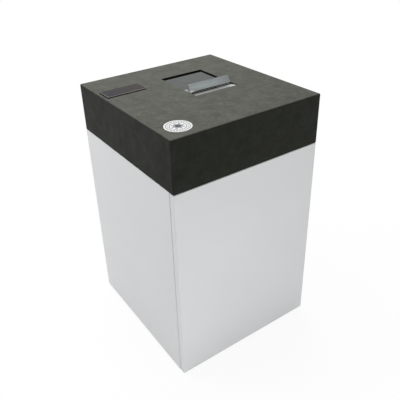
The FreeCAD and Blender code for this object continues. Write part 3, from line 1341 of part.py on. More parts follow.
def make_bin():
    low_x = (-drawer_side_x + BIN_SIDE_GAP + BIN_DRAFT, drawer_side_x - BIN_SIDE_GAP - BIN_DRAFT)
    low_y = (drawer_y[0] + BIN_END_GAP + BIN_DRAFT, drawer_y[1] - BIN_END_GAP - BIN_DRAFT)
    high_z = bin_low_z + BIN_HEIGHT
    high_x = grown(low_x, BIN_DRAFT)
    high_y = grown(low_y, BIN_DRAFT)

    def leaning_edge(centre, ends):
        return abs(ends[0].z - ends[-1].z) > BIN_HEIGHT / 2

    outer = tapered_box(low_x, low_y, bin_low_z, high_x, high_y, high_z)
    outer = rounded(outer, BIN_CORNER, leaning_edge)
    floor_z = bin_low_z + BIN_WALL
    rise = BIN_DRAFT * BIN_WALL / BIN_HEIGHT
    inner = tapered_box(
        grown(low_x, rise - BIN_WALL),
        grown(low_y, rise - BIN_WALL),
        floor_z,
        grown(high_x, -BIN_WALL),
        grown(high_y, -BIN_WALL),
        high_z,
    )
    inner = rounded(inner, BIN_CORNER - BIN_WALL, leaning_edge)
    rim_z = (high_z - BIN_RIM_HEIGHT, high_z)
    rim = bar(grown(high_x, BIN_RIM), grown(high_y, BIN_RIM), rim_z, BIN_CORNER + BIN_RIM, "z")
    hand_z = around(high_z - HAND_HOLE_DROP, HAND_HOLE_HEIGHT)
    hand_y = around((low_y[0] + low_y[1]) / 2, HAND_HOLE_LENGTH)
    hands = bar(grown(high_x, PAST), hand_y, hand_z, (HAND_HOLE_HEIGHT - SLOT_END_FLAT) / 2, "x")
    shell = joined([outer, rim])
    parts["waste_bin"] = shell.cut(inner).cut(hands)


def write_parts():
    os.makedirs("parts", exist_ok=True)
    for name, shape in parts.items():
        shape.exportStep("parts/" + name + ".step")


make_base_pan()
make_feet()
make_side_panels()
make_rear_panel()
make_hood()
make_gasket()
make_hood_screws()
make_frame_rails()
make_deck()
make_chute()
make_flap()
make_flap_hinge()
make_rest_pads()
make_top_trim()
make_shaft_set("front", shaft_y[0], 0.0)
make_shaft_set("rear", shaft_y[1], 0.5)
make_block_frame()
make_combs()
make_discharge()
make_gears()
make_gearhead()
make_motor()
make_fan()
make_control_box()
make_motor_lead()
make_pocket()
make_buttons()
make_inlet()
make_rocker()
make_front_panel()
make_runners()
make_drawer_tray()
make_bin()
write_parts()
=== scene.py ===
import json
import math
from collections import namedtuple

import bmesh
import bpy
from mathutils import Matrix, Vector


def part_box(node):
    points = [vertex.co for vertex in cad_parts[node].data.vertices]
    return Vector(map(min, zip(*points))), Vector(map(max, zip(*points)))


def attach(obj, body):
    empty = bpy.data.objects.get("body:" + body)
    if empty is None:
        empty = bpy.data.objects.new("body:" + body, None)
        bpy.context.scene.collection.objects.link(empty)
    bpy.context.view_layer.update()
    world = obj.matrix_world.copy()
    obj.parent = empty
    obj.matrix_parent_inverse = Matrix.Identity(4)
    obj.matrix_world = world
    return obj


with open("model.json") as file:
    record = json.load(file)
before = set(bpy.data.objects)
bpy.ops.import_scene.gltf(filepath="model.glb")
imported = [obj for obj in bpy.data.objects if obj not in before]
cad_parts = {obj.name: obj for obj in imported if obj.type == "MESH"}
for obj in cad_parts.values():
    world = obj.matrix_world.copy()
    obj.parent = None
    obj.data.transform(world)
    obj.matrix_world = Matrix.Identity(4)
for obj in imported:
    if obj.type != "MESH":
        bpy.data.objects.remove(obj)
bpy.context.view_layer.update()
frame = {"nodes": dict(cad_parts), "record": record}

scene = bpy.context.scene
scene.view_settings.view_transform = "Standard"

# Lengths are in metres, colours in sRGB levels from 0 to 255, texture scales in cells per metre

# Camera: eye, axes and shift from a fit to the photograph's corner points
EYE = (-0.8131, -1.2085, 1.3269)
RIGHT = Vector((0.82613, -0.56243, -0.03452))
FORWARD = Vector((0.47705, 0.73070, -0.48837)).normalized()
SENSOR_WIDTH = 36
LENS = 45.77
SHIFT = (0.022, -0.0585)
CLIP_END = 100

# Floor: half its side, height just under the feet, grey, and how it turns white around the part
FLOOR_REACH = 30.0
FLOOR_HEIGHT = -0.0003
FLOOR_GREY = 0.9
SHADOW_REACH = (0.4, 1.6)
WHITE_SHARE = (0.9, 1.0)

# Light from all sides, and soft boxes: name, place, aim, size and power in watts
ROOM_LIGHT = 0.48
SOFT_BOXES = (
    ("key", (-1.15, 0.80, 1.6), (-0.25, 0.20, 0.5), (0.8, 0.8), 9.2),
    ("fill", (1.15, -2.3, 2.1), (0, 0, 0.45), (1.6, 1.5), 8.2),
    ("front", (-0.45, -1.30, 0.38), (-0.10, -0.25, 0.1), (0.7, 0.7), 3.35),
    ("overhead", (0.20, 1.20, 3.2), (0, 0, 0.8), (3.0, 2.2), 70),
)

# Nodes of the flap's hinge
HINGE_NODES = ("flap_hinge_fixed_leaf", "flap_hinge_moving_leaf", "flap_hinge_pin")

# Feed opening in the hood's top: the box that its cut edges lie in
FEED_OPENING = ((-0.0325, -0.0565, 0.70), (0.1205, 0.1405, 0.82))
# Where the scoop ends and the tray under the flap begins, and the heights of both
SCOOP_FOOT = -0.0200
TRAY_HEIGHTS = (0.79, 0.82)
# Painted light on the scoop: a highlight band across it, a highlight at its right end, and light on
# its foot under the grip
BAND_MIDDLE = -0.0390
BAND_HALF = 0.0080
END_FROM_X = (0.088, 0.112)
END_FROM_Y = (-0.022, -0.030)
FOOT_FROM_Y = (-0.0290, -0.0255)
SCOOP_SPAN_X = (-0.03, 0.12)

# Where the hood's top gets darker towards its right front: painted shade where the light falls off
TOP_SHADE_FROM_X = (0.06, 0.13)
TOP_SHADE_FROM_Y = (0.10, 0.0)
# Painted shadow before the name plate: its shift to the left and the front, and where it fades out
PLATE_SHADOW_SHIFT = 0.0015
PLATE_SHADOW_FADE = (0.0014, 0.0034)
# Painted shade in the seams beside the front panel: where it fades out
SEAM_SHADE_FADE = 0.0012
# Metal rim on the name plate's top edge
RIM_HEIGHT = 0.0007
# Middle of the painted highlight behind the flap's left front corner
HIGHLIGHT_SPOT_Y = 0.008
# Box of the blades in the inlet's socket, from the middle of its rear face
BLADES = ((-0.0085, -0.0158, -0.0160), (0.0085, -0.0038, -0.0070))
# Print on the round disc, as shares of its radius: middle and half width of each ring
OUTER_RING = (0.86, 0.035)
TICK_RING = (0.73, 0.060)
INNER_RING = (0.60, 0.022)
EYE_RADIUS = 0.22
TICKS = 24
PETALS = 8

# Cosines for faces that look upwards and for faces that stand steep
FLAT = 0.9
STEEP = 0.5

# Where most values of a noise texture lie
NOISE_SPAN = (0.3, 0.7)

Wear = namedtuple("Wear", "colour width amount")


def make_camera():
    data = bpy.data.cameras.new("camera")
    data.sensor_width = SENSOR_WIDTH
    data.lens = LENS
    data.shift_x, data.shift_y = SHIFT
    data.clip_end = CLIP_END
    camera = bpy.data.objects.new("camera", data)
    scene.collection.objects.link(camera)
    up = RIGHT.cross(FORWARD).normalized()
    right = FORWARD.cross(up).normalized()
    turn = Matrix((right, up, -FORWARD)).transposed()
    camera.matrix_world = Matrix.Translation(EYE) @ turn.to_4x4()
    scene.camera = camera


# Node trees


def linear(colour):
    """Linear colour from sRGB levels."""
    return [((c / 255 + 0.055) / 1.055) ** 2.4 if c > 10 else c / 255 / 12.92 for c in colour]


def opaque(colour):
    """Linear colour with full alpha from sRGB levels."""
    return (*linear(colour), 1.0)


def scaled(colour, by):
    """Linear colour made lighter or darker, with full alpha."""
    return (*[min(1.0, c * by) for c in colour], 1.0)


class Nodes:
    """A node tree, with short ways to add and link its nodes."""

    def __init__(self, tree):
        self.tree = tree
        tree.nodes.clear()

    def join(self, source, target):
        self.tree.links.new(source, target)

    def add(self, kind, **settings):
        node = self.tree.nodes.new("ShaderNode" + kind)
        for key, value in settings.items():
            setattr(node, key, value)
        return node

    def give(self, socket, value):
        """Links a socket's output to an input, or sets the input to a constant."""
        if isinstance(value, bpy.types.NodeSocket):
            self.join(value, socket)
        else:
            socket.default_value = value

    def math(self, operation, *values):
        node = self.add("Math", operation=operation)
        for socket, value in zip(node.inputs, values):
            self.give(socket, value)
        return node.outputs[0]

    def product(self, first, *others):
        for other in others:
            first = self.math("MULTIPLY", first, other)
        return first

    def largest(self, first, *others):
        for other in others:
            first = self.math("MAXIMUM", first, other)
        return first

    def apart(self, value, middle):
        """How far a value is from the middle, on either side."""
        return self.math("ABSOLUTE", self.math("SUBTRACT", value, middle))

    def mapped(self, value, low, high, to_low, to_high):
        node = self.add("MapRange")
        sockets = ("From Min", "From Max", "To Min", "To Max")
        for socket, number in zip(sockets, (low, high, to_low, to_high)):
            node.inputs[socket].default_value = number
        self.join(value, node.inputs["Value"])
        return node.outputs[0]

    def blend(self, share, first, second):
        """Mixes two shaders."""
        node = self.add("MixShader")
        for socket, source in zip(node.inputs, (share, first.outputs[0], second.outputs[0])):
            self.join(source, socket)
        return node.outputs[0]


class Finish(Nodes):
    """A material with one principled shader."""

    def __init__(self, name):
        self.material = bpy.data.materials.new(name)
        self.material.use_nodes = True
        super().__init__(self.material.node_tree)
        self.shader = self.add("BsdfPrincipled")
        self.join(self.shader.outputs[0], self.add("OutputMaterial").inputs[0])
        coordinates = self.add("TexCoord")
        self.place = coordinates.outputs["Object"]
        self.own_normal = coordinates.outputs["Normal"]

    def set(self, **values):
        """Sets or links the shader's inputs."""
        for key, value in values.items():
            self.give(self.shader.inputs[key.replace("_", " ")], value)

    def source(self, key):
        """What is linked to one of the shader's inputs."""
        return self.shader.inputs[key].links[0].from_socket

    def parted(self, vector):
        """The three numbers of a vector."""
        node = self.add("SeparateXYZ")
        self.join(vector, node.inputs[0])
        return node.outputs

    def slope(self, kind="Normal"):
        """1 on faces that look up, 0 on upright ones, -1 underneath."""
        return self.parted(self.add("NewGeometry").outputs[kind])[2]

    def within(self, place, low, high):
        """1 inside a box, 0 outside it."""
        return self.product(*[
            self.math("COMPARE", value, (first + last) / 2, (last - first) / 2)
            for value, first, last in zip(place, low, high)])

    def stretched(self, scale):
        node = self.add("Mapping")
        node.inputs["Scale"].default_value = scale
        self.join(self.place, node.inputs["Vector"])
        return node.outputs[0]

    def noise(self, scale, detail=3.0, place=None):
        node = self.add("TexNoise")
        node.inputs["Scale"].default_value = scale
        node.inputs["Detail"].default_value = detail
        self.join(place or self.place, node.inputs["Vector"])
        return node.outputs[0]

    def lines(self, scale, detail):
        """Noise drawn out along one axis."""
        return self.noise(1.0, detail, self.stretched(scale))

    def cells(self, scale):
        node = self.add("TexVoronoi")
        node.inputs["Scale"].default_value = scale
        self.join(self.place, node.inputs["Vector"])
        return node.outputs["Distance"]

    def varied(self, noise, low, high):
        """A noise brought into a range."""
        return self.mapped(noise, *NOISE_SPAN, low, high)

    def ramp(self, value, stops):
        """A colour between two stops, each a value and its colour."""
        node = self.add("ValToRGB")
        for element, (position, colour) in zip(node.color_ramp.elements, stops):
            element.position = position
            element.color = colour
        self.join(value, node.inputs[0])
        return node.outputs[0]

    def between(self, noise, first, second):
        """A colour that the noise leads from the first to the second."""
        return self.ramp(noise, list(zip(NOISE_SPAN, (first, second))))

    def shades(self, noise, base, low, high):
        """A linear colour that the noise makes darker and lighter."""
        return self.between(noise, scaled(base, low), scaled(base, high))

    def mix(self, share, first, second, blend="MIX"):
        node = self.add("Mix", data_type="RGBA", blend_type=blend)
        sockets = (node.inputs[0], node.inputs[6], node.inputs[7])
        for socket, value in zip(sockets, (share, first, second)):
            self.give(socket, value)
        return node.outputs[2]

    def times(self, tone, factor):
        return self.mix(1.0, tone, factor, "MULTIPLY")

    def edges(self, radius):
        """About 1 on edges and corners sharper than the radius, 0 on open faces."""
        bevel = self.add("Bevel", samples=6)
        bevel.inputs["Radius"].default_value = radius
        facing = self.add("VectorMath", operation="DOT_PRODUCT")
        self.join(bevel.outputs[0], facing.inputs[0])
        self.join(self.add("NewGeometry").outputs["Normal"], facing.inputs[1])
        return self.mapped(facing.outputs["Value"], 0.999, 0.86, 0.0, 1.0)

    def rubbed_edges(self, tone, radius, amount, colour):
        return self.mix(self.product(self.edges(radius), amount), tone, colour)

    def bump(self, height, depth):
        node = self.add("Bump")
        node.inputs["Distance"].default_value = depth
        node.inputs["Strength"].default_value = 1.0
        self.join(height, node.inputs["Height"])
        return node.outputs[0]


# Finishes of many nodes


def paint(name, colour, rough, spec, cloud, cloud_size, peel, depth, wear):
    """Sprayed or powder coat: faint clouds, orange peel, uneven gloss and wear along its edges."""
    t = Finish(name)
    clouds = t.noise(1 / cloud_size, 4.0)
    tone = t.shades(clouds, linear(colour), 1 - cloud, 1 + cloud)
    grain = t.noise(1 / peel, 2.0)
    tone = t.times(tone, t.mapped(grain, 0.35, 0.65, 1 - cloud, 1 + cloud))
    patches = t.mapped(t.noise(60.0, 4.0), 0.42, 0.66, 0.0, wear.amount)
    tone = t.rubbed_edges(tone, wear.width, patches, opaque(wear.colour))
    gloss = t.varied(t.noise(34.0), rough - 0.05, rough + 0.06)
    t.set(Base_Color=tone, Roughness=gloss, Normal=t.bump(grain, depth), Specular_IOR_Level=spec)
    return t


def brushed(name, colour, rough, streak=0.14, depth=0.00002, metal=1.0, **more):
    """Bare metal with fine lines along X, soft stains and bright edges."""
    t = Finish(name)
    base = linear(colour)
    lines = t.lines((6, 900, 900), 3.0)
    tone = t.shades(lines, base, 1 - streak, 1 + streak)
    tone = t.times(tone, t.varied(t.noise(24.0, 4.0), 0.94, 1.06))
    tone = t.rubbed_edges(tone, 0.0008, 0.45, scaled(base, 1.5))
    gloss = t.mapped(lines, 0.25, 0.75, rough - 0.07, rough + 0.08)
    t.set(Base_Color=tone, Roughness=gloss, Normal=t.bump(lines, depth), Metallic=metal, **more)
    return t


def cast(name, colour, rough, metal):
    """Cast or enamelled casting: pebbled surface with darker hollows."""
    t = Finish(name)
    base = linear(colour)
    pebbles = t.noise(1 / 0.0016, 4.0)
    tone = t.ramp(pebbles, [(0.28, scaled(base, 0.8)), (0.7, scaled(base, 1.12))])
    tone = t.rubbed_edges(tone, 0.0012, 0.35, scaled(base, 1.7))
    gloss = t.varied(t.noise(40.0), rough - 0.06, rough + 0.08)
    t.set(Base_Color=tone, Roughness=gloss, Normal=t.bump(pebbles, 0.00012), Metallic=metal)
    return t


def galvanized(name, colour, rough):
    """Zinc plating: faint crystal patches over a bright grey."""
    t = Finish(name)
    base = linear(colour)
    patches = t.cells(160.0)
    tone = t.ramp(patches, [(0.05, scaled(base, 0.86)), (0.75, scaled(base, 1.1))])
    gloss = t.mapped(patches, 0.0, 0.8, rough - 0.06, rough + 0.1)
    t.set(Base_Color=tone, Roughness=gloss, Normal=t.bump(t.noise(500.0), 0.00002), Metallic=1.0)
    return t


def moulded(name, colour, rough, grain=0.0007, depth=0.00003, spec=0.5):
    """Moulded plastic or rubber: fine spark texture, slight clouding, lighter rubbed edges."""
    t = Finish(name)
    base = linear(colour)
    tone = t.shades(t.noise(18.0), base, 0.94, 1.06)
    tone = t.rubbed_edges(tone, 0.0008, 0.3, scaled([c + 0.02 for c in base], 1.5))
    texture = t.bump(t.noise(1 / grain, 2.0), depth)
    gloss = t.varied(t.noise(70.0), rough - 0.05, rough + 0.06)
    t.set(Base_Color=tone, Roughness=gloss, Normal=texture, Specular_IOR_Level=spec)
    return t


# Finishes of single nodes


def hood_material():
    """Mottled dark powder coat: dust and painted light on top, painted shadow before the plate,
    painted shade on the feed opening's walls.
    """
    t = paint(
        "hood_paint", (30, 32, 26), rough=0.6, spec=0.1, cloud=0.05, cloud_size=0.11,
        peel=0.0015, depth=0.00007, wear=Wear((92, 92, 84), 0.0016, 0.5))
    up = t.slope()
    on_top = t.mapped(up, 0.5, 0.98, 0.0, 1.0)
    place = t.parted(t.place)
    black = opaque((9, 10, 9))
    # Upward faces made lighter: fine dust, and painted light on the top.
    top_dust_and_light = t.product(on_top, t.varied(t.noise(7.0, 5.0), 0.86, 1.0))
    dust_and_light_colour = t.shades(t.noise(700.0), linear((76, 77, 70)), 0.9, 1.1)
    tone = t.mix(top_dust_and_light, t.source("Base Color"), dust_and_light_colour)
    for mottle in (t.noise(85.0, 4.0), t.noise(26.0)):
        tone = t.times(tone, t.varied(mottle, 0.84, 1.16))
    # Painted shade: the top darker towards its right front.
    right_front_shade = t.product(
        t.mapped(place[0], *TOP_SHADE_FROM_X, 0.0, -0.1), t.mapped(place[1], *TOP_SHADE_FROM_Y, 0.0, 1.0),
        on_top)
    tone = t.times(tone, t.math("ADD", right_front_shade, 1.0))
    # Painted shadow: a dark line on the top around the name plate, shifted to its left and front.
    beside = []
    for here, low, high in list(zip(place, *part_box("name_plate")))[:2]:
        away = t.apart(here, (low + high) / 2 - PLATE_SHADOW_SHIFT)
        beside.append(t.math("SUBTRACT", away, (high - low) / 2))
    plate_shadow = t.mapped(t.largest(*beside), *PLATE_SHADOW_FADE, 0.85, 0.0)
    tone = t.mix(t.product(plate_shadow, t.math("GREATER_THAN", up, FLAT)), tone, black)
    # Painted shade: the feed opening's steep walls made black.
    walls = t.product(t.within(place, *FEED_OPENING), t.math("LESS_THAN", up, STEEP))
    t.set(Base_Color=t.mix(walls, tone, black))
    return t


def cabinet_material():
    """Light powder coat, with painted shade in the seams beside the front panel."""
    t = paint(
        "cabinet_paint", (212, 213, 214), rough=0.46, spec=0.4, cloud=0.012, cloud_size=0.22,
        peel=0.0013, depth=0.00004, wear=Wear((232, 232, 230), 0.0016, 0.5))
    # Painted shade: darker in the seams between the front panel and the side panels' front edges.
    front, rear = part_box("front_panel")[1].y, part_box("left_side_panel")[0].y
    half = (rear - front) / 2
    into = t.apart(t.parted(t.place)[1], (front + rear) / 2)
    seam_shade = t.mapped(into, half, half + SEAM_SHADE_FADE, 0.38, 0.0)
    t.set(Base_Color=t.mix(seam_shade, t.source("Base Color"), opaque((46, 46, 45))))
    return t


def chute_material():
    """Dull steel scoop with painted highlights across it and at its right end, and painted light on
    its foot; the tray around the flap is painted black, as painted shade.
    """
    dull_metal = 0.15
    t = brushed(
        "chute_steel", (116, 119, 117), 0.5, streak=0.1, metal=dull_metal, Specular_IOR_Level=0.2)
    x, y, z = t.parted(t.place)
    up = t.slope()
    # Painted light: a highlight band across the scoop, a highlight at its right end that grows
    # whiter to the right, and light on its foot in the grip's shadow.
    highlight_band = t.mapped(t.apart(y, BAND_MIDDLE), 0.0, BAND_HALF, 0.35, 0.0)
    flat = t.math("GREATER_THAN", up, STEEP)
    end = t.product(t.mapped(x, *END_FROM_X, 0.0, 0.5), t.mapped(y, *END_FROM_Y, 0.0, 1.0), flat)
    foot_light = t.product(t.mapped(y, *FOOT_FROM_Y, 0.0, 0.5), flat)
    painted_light = t.ramp(t.mapped(x, *SCOOP_SPAN_X, 0.0, 1.0), [
        (0.6, opaque((180, 179, 173))), (0.92, opaque((244, 245, 242)))])
    tone = t.mix(t.largest(highlight_band, end, foot_light), t.source("Base Color"), painted_light)
    # Painted shade: the tray under the flap and the steep cheeks beside it made black.
    low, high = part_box("feed_flap")
    bottom, top = TRAY_HEIGHTS
    tray = t.within(
        (x, y, z), (low.x - 0.02, SCOOP_FOOT, bottom), (high.x + 0.02, high.y + 0.03, top))
    for edge in (low.x, high.x):
        side = t.within(
            (x, y, z), (edge - 0.0035, low.y - 0.05, bottom), (edge + 0.0035, SCOOP_FOOT, top))
        tray = t.largest(tray, t.product(side, t.math("LESS_THAN", up, STEEP)))
    t.set(
        Base_Color=t.mix(tray, tone, opaque((10, 11, 10))),
        Metallic=t.mapped(tray, 0.0, 1.0, dull_metal, 0.0))
    return t


def flap_material():
    """Brushed steel in tinted streaks, with painted shade on upward faces and in the bend, and
    painted highlights on the underside and at the left corner.
    """
    t = brushed(
        "flap_steel", (102, 105, 104), 0.14, depth=0.000006, Specular_Tint=(0.68, 0.69, 0.68, 1.0))
    streaks = t.lines((14, 210, 210), 2.0)
    tint = t.ramp(streaks, [(0.32, (0.88, 0.86, 0.88, 1.0)), (0.68, (1.08, 1.13, 1.16, 1.0))])
    _, ahead, up = t.parted(t.own_normal)
    tone = t.times(t.source("Base Color"), tint)
    # Painted shade: upward faces a little darker.
    tone = t.times(tone, t.mapped(up, 0.6, 0.95, 1.0, 0.92))
    # Painted shade: the grip's bend made darker where it faces forward.
    bend = t.mapped(t.apart(up, 0.15), 0.20, 0.35, 0.3, 1.0)
    tone = t.times(tone, t.largest(bend, t.math("GREATER_THAN", ahead, -0.5)))
    # Painted highlights: the grip's left foot, a spot behind the left front corner and the
    # underside, which is also made rougher.
    low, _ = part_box("feed_flap")
    x, y, z = t.parted(t.place)
    grip_foot = t.product(
        t.mapped(x, low.x + 0.003, low.x + 0.017, 0.28, 0.0),
        t.mapped(y, low.y + 0.008, low.y + 0.020, 1.0, 0.0),
        t.mapped(z, low.z + 0.005, low.z + 0.012, 1.0, 0.0))
    corner = t.product(
        t.mapped(x, low.x + 0.008, low.x + 0.016, 0.42, 0.0),
        t.mapped(t.apart(y, HIGHLIGHT_SPOT_Y), 0.005, 0.011, 1.0, 0.0))
    under = t.mapped(up, -0.05, -0.30, 0.0, 0.6)
    painted_light = t.largest(grip_foot, corner, under)
    t.set(
        Base_Color=t.mix(painted_light, tone, opaque((246, 247, 246))),
        Roughness=t.math("MULTIPLY_ADD", under, 0.45, t.source("Roughness")))
    return t


def inlet_material():
    """Black moulded plastic, with nickel on the three blades inside the socket."""
    t = moulded("inlet_plastic", (38, 38, 39), 0.42)
    low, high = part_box("power_inlet")
    rear = ((low.x + high.x) / 2, high.y, (low.z + high.z) / 2)
    blades = t.within(t.parted(t.place), *[
        [middle + shift for middle, shift in zip(rear, corner)] for corner in BLADES])
    nickel = opaque((196, 194, 186))
    t.set(Base_Color=t.mix(blades, t.source("Base Color"), nickel), Metallic=blades)
    return t


def plate_material():
    """Dark glossy plate, cool at the left and warm at the right, with metal rim, and its walls
    painted black as painted shade.
    """
    t = Finish("plate_finish")
    low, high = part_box("name_plate")
    x, _, z = t.parted(t.place)
    base = t.ramp(t.mapped(x, low.x, high.x, 0.0, 1.0), [
        (0.1, opaque((31, 30, 35))), (0.9, opaque((42, 33, 32)))])
    tone = t.times(base, t.varied(t.noise(60.0), 0.88, 1.12))
    slope = t.slope("True Normal")
    # Painted shade: faces that don't look up, walls and bevel, made near black; the metal rim
    # covers the bevel's top.
    tone = t.mix(t.math("LESS_THAN", slope, FLAT), tone, opaque((9, 8, 8)))
    rim = t.product(
        t.math("COMPARE", slope, 0.7, 0.2), t.math("GREATER_THAN", z, high.z - RIM_HEIGHT))
    scratches = t.lines((20, 1400, 1400), 2.0)
    metal = t.between(scratches, opaque((134, 126, 128)), opaque((166, 160, 160)))
    t.set(
        Base_Color=t.mix(rim, tone, metal), Metallic=rim, Specular_IOR_Level=0.05,
        Roughness=t.varied(t.noise(240.0), 0.22, 0.30), Normal=t.bump(t.noise(900.0, 2.0), 0.00001))
    return t


def plaque_material():
    """White printed disc with a plain rosette, two rings and a ring of ticks."""
    t = Finish("plaque_print")
    low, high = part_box("round_plaque")
    x, y, _ = t.parted(t.place)
    x = t.math("SUBTRACT", x, (low.x + high.x) / 2)
    y = t.math("SUBTRACT", y, (low.y + high.y) / 2)
    reach = t.math("SQRT", t.math("ADD", t.product(x, x), t.product(y, y)))
    away = t.math("DIVIDE", reach, (high.x - low.x) / 2)
    turn = t.math("ARCTAN2", y, x)
    outer_ring = t.math("COMPARE", away, *OUTER_RING)
    inner_ring = t.math("COMPARE", away, *INNER_RING)
    step = t.math("FRACT", t.product(turn, TICKS / (2 * math.pi)))
    ticks = t.product(t.math("COMPARE", step, 0.5, 0.17), t.math("COMPARE", away, *TICK_RING))
    petals = t.math("MULTIPLY_ADD", t.math("COSINE", t.product(turn, PETALS)), 0.10, 0.43)
    rosette = t.math("LESS_THAN", away, petals)
    eye = t.math("LESS_THAN", away, EYE_RADIUS)
    paper = t.shades(t.noise(90.0), linear((216, 217, 216)), 0.96, 1.03)
    inked = t.mix(t.largest(outer_ring, rosette), paper, opaque((134, 137, 140)))
    inked = t.mix(t.largest(inner_ring, ticks, eye), inked, opaque((34, 35, 37)))
    t.set(
        Base_Color=inked, Roughness=t.varied(t.noise(300.0), 0.40, 0.52),
        Normal=t.bump(t.noise(1500.0, 2.0), 0.000008), Specular_IOR_Level=0.35)
    return t


def lens_material():
    """Amber lens: coloured plastic that lets some light through, with a fine grain."""
    t = Finish("lamp_lens")
    depth = t.noise(400.0, 2.0)
    t.set(
        Base_Color=t.shades(depth, linear((236, 150, 44)), 0.85, 1.1),
        Roughness=t.varied(depth, 0.10, 0.2), Normal=t.bump(t.noise(900.0, 1.0), 0.00004),
        Transmission_Weight=0.35, IOR=1.49)
    return t


def mark_material(name, colour):
    """Pad-printed mark: thin even ink with a slightly mottled surface."""
    t = Finish(name)
    ink = t.noise(1600.0, 2.0)
    t.set(
        Base_Color=t.shades(ink, linear(colour), 0.9, 1.05),
        Roughness=t.varied(ink, 0.42, 0.56), Normal=t.bump(ink, 0.00001))
    return t


def make_finishes():
    """A finish for each of the record's slots, and the single nodes that differ from their slot."""
    slots = {
        "hood_paint": hood_material(),
        "cabinet_paint": cabinet_material(),
        "dark_paint": paint(
            "dark_paint", (60, 62, 64), rough=0.5, spec=0.4, cloud=0.05, cloud_size=0.1,
            peel=0.0013, depth=0.00005, wear=Wear((128, 128, 126), 0.001, 0.6)),
        "bare_steel": brushed("bare_steel", (160, 163, 162), 0.34),
        "cutter_steel": brushed("cutter_steel", (150, 150, 152), 0.34, streak=0.1),
        "gear_steel": brushed("gear_steel", (165, 165, 166), 0.32, streak=0.08),
        "zinc_steel": galvanized("zinc_steel", (202, 204, 206), 0.34),
        "motor_paint": cast("motor_paint", (82, 98, 110), 0.42, 0.0),
        "gearhead_alloy": cast("gearhead_alloy", (188, 190, 192), 0.44, 1.0),
        "rubber": moulded("rubber", (34, 34, 34), 0.72, 0.0010, 0.00006, 0.3),
        "black_plastic": moulded("black_plastic", (40, 40, 41), 0.48),
        "grey_plastic": moulded("grey_plastic", (158, 160, 162), 0.46),
        "bin_plastic": moulded("bin_plastic", (66, 69, 72), 0.5, 0.0011, 0.00005),
        "plate_finish": plate_material(),
        "plaque_print": plaque_material(),
        "green_plastic": moulded("green_plastic", (38, 140, 68), 0.28, 0.0009, 0.00001),
        "white_plastic": moulded("white_plastic", (222, 222, 218), 0.28, 0.0009, 0.00001),
        "red_plastic": moulded("red_plastic", (184, 34, 30), 0.28, 0.0009, 0.00001),
        "lamp_lens": lens_material(),
    }
    nodes = {
        "power_inlet": inlet_material(),
        "feed_flap": flap_material(),
        "feed_chute": chute_material(),
    }
    # Painted shade: the hinge is blackened like black oxide, so that it stays dark in the gap
    # behind the flap.
    black_oxide_and_shade = brushed("black_oxide_and_shade", (30, 30, 31), 0.42, streak=0.1)
    for name in HINGE_NODES:
        nodes[name] = black_oxide_and_shade
    return slots, nodes


def dress(slots, nodes):
    """Gives every node of the model its own finish, or the one that its slot names."""
    for entry in frame["record"]["subparts"]:
        finish = nodes.get(entry["node"]) or slots[entry["material_slot"]]
        node = frame["nodes"][entry["node"]]
        node.data.materials.clear()
        node.data.materials.append(finish.material)


# Floor, background and light


def see_white(t):
    """1 for rays that show the background: camera, mirror and glass rays."""
    path = t.add("LightPath")
    return t.largest(*[
        path.outputs[name] for name in ("Is Camera Ray", "Is Glossy Ray", "Is Transmission Ray")])


def make_floor():
    """White floor that keeps the part's shadow."""
    mesh = bpy.data.meshes.new("floor")
    corners = [
        (x * FLOOR_REACH, y * FLOOR_REACH, FLOOR_HEIGHT)
        for x, y in ((-1, -1), (1, -1), (1, 1), (-1, 1))]
    mesh.from_pydata(corners, [], [(0, 1, 2, 3)])
    floor = bpy.data.objects.new("floor", mesh)
    scene.collection.objects.link(floor)
    material = bpy.data.materials.new("floor")
    material.use_nodes = True
    t = Nodes(material.node_tree)
    matt = t.add("BsdfDiffuse")
    matt.inputs["Color"].default_value = (FLOOR_GREY, FLOOR_GREY, FLOOR_GREY, 1)
    away = t.add("VectorMath", operation="LENGTH")
    t.join(t.add("TexCoord").outputs["Object"], away.inputs[0])
    spread = t.mapped(away.outputs["Value"], *SHADOW_REACH, *WHITE_SHARE)
    shown = t.blend(t.product(see_white(t), spread), matt, t.add("Emission"))
    t.join(shown, t.add("OutputMaterial").inputs[0])
    mesh.materials.append(material)


def make_world():
    """Even light from all sides; the background itself shows white."""
    world = bpy.data.worlds.new("studio")
    scene.world = world
    world.use_nodes = True
    t = Nodes(world.node_tree)
    shades = []
    for strength in (ROOM_LIGHT, 1.0):
        shade = t.add("Background")
        shade.inputs["Color"].default_value = (1, 1, 1, 1)
        shade.inputs["Strength"].default_value = strength
        shades.append(shade)
    t.join(t.blend(see_white(t), *shades), t.add("OutputWorld").inputs[0])


def make_lights():
    for name, place, aim, size, power in SOFT_BOXES:
        data = bpy.data.lights.new(name, "AREA")
        data.shape = "RECTANGLE"
        data.size, data.size_y = size
        data.energy = power
        light = bpy.data.objects.new(name, data)
        scene.collection.objects.link(light)
        light.location = place
        light.rotation_euler = (Vector(aim) - Vector(place)).to_track_quat("-Z", "Y").to_euler()


# Pieces of the scene alone: marks on the buttons and the rocker

# How far a mark's underside is sunk, and how far its print stands out on buttons and rocker
MARK_SINK = 0.00002
BUTTON_PRINT = 0.00025
ROCKER_PRINT = 0.0002


def finished_piece(name, mesh, body, slot, finish):
    """Turns a bmesh into a piece that rides on a body."""
    bmesh.ops.recalc_face_normals(mesh, faces=mesh.faces)
    data = bpy.data.meshes.new(name)
    mesh.to_mesh(data)
    mesh.free()
    data.materials.append(finish.material)
    piece = bpy.data.objects.new(name, data)
    scene.collection.objects.link(piece)
    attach(piece, body)


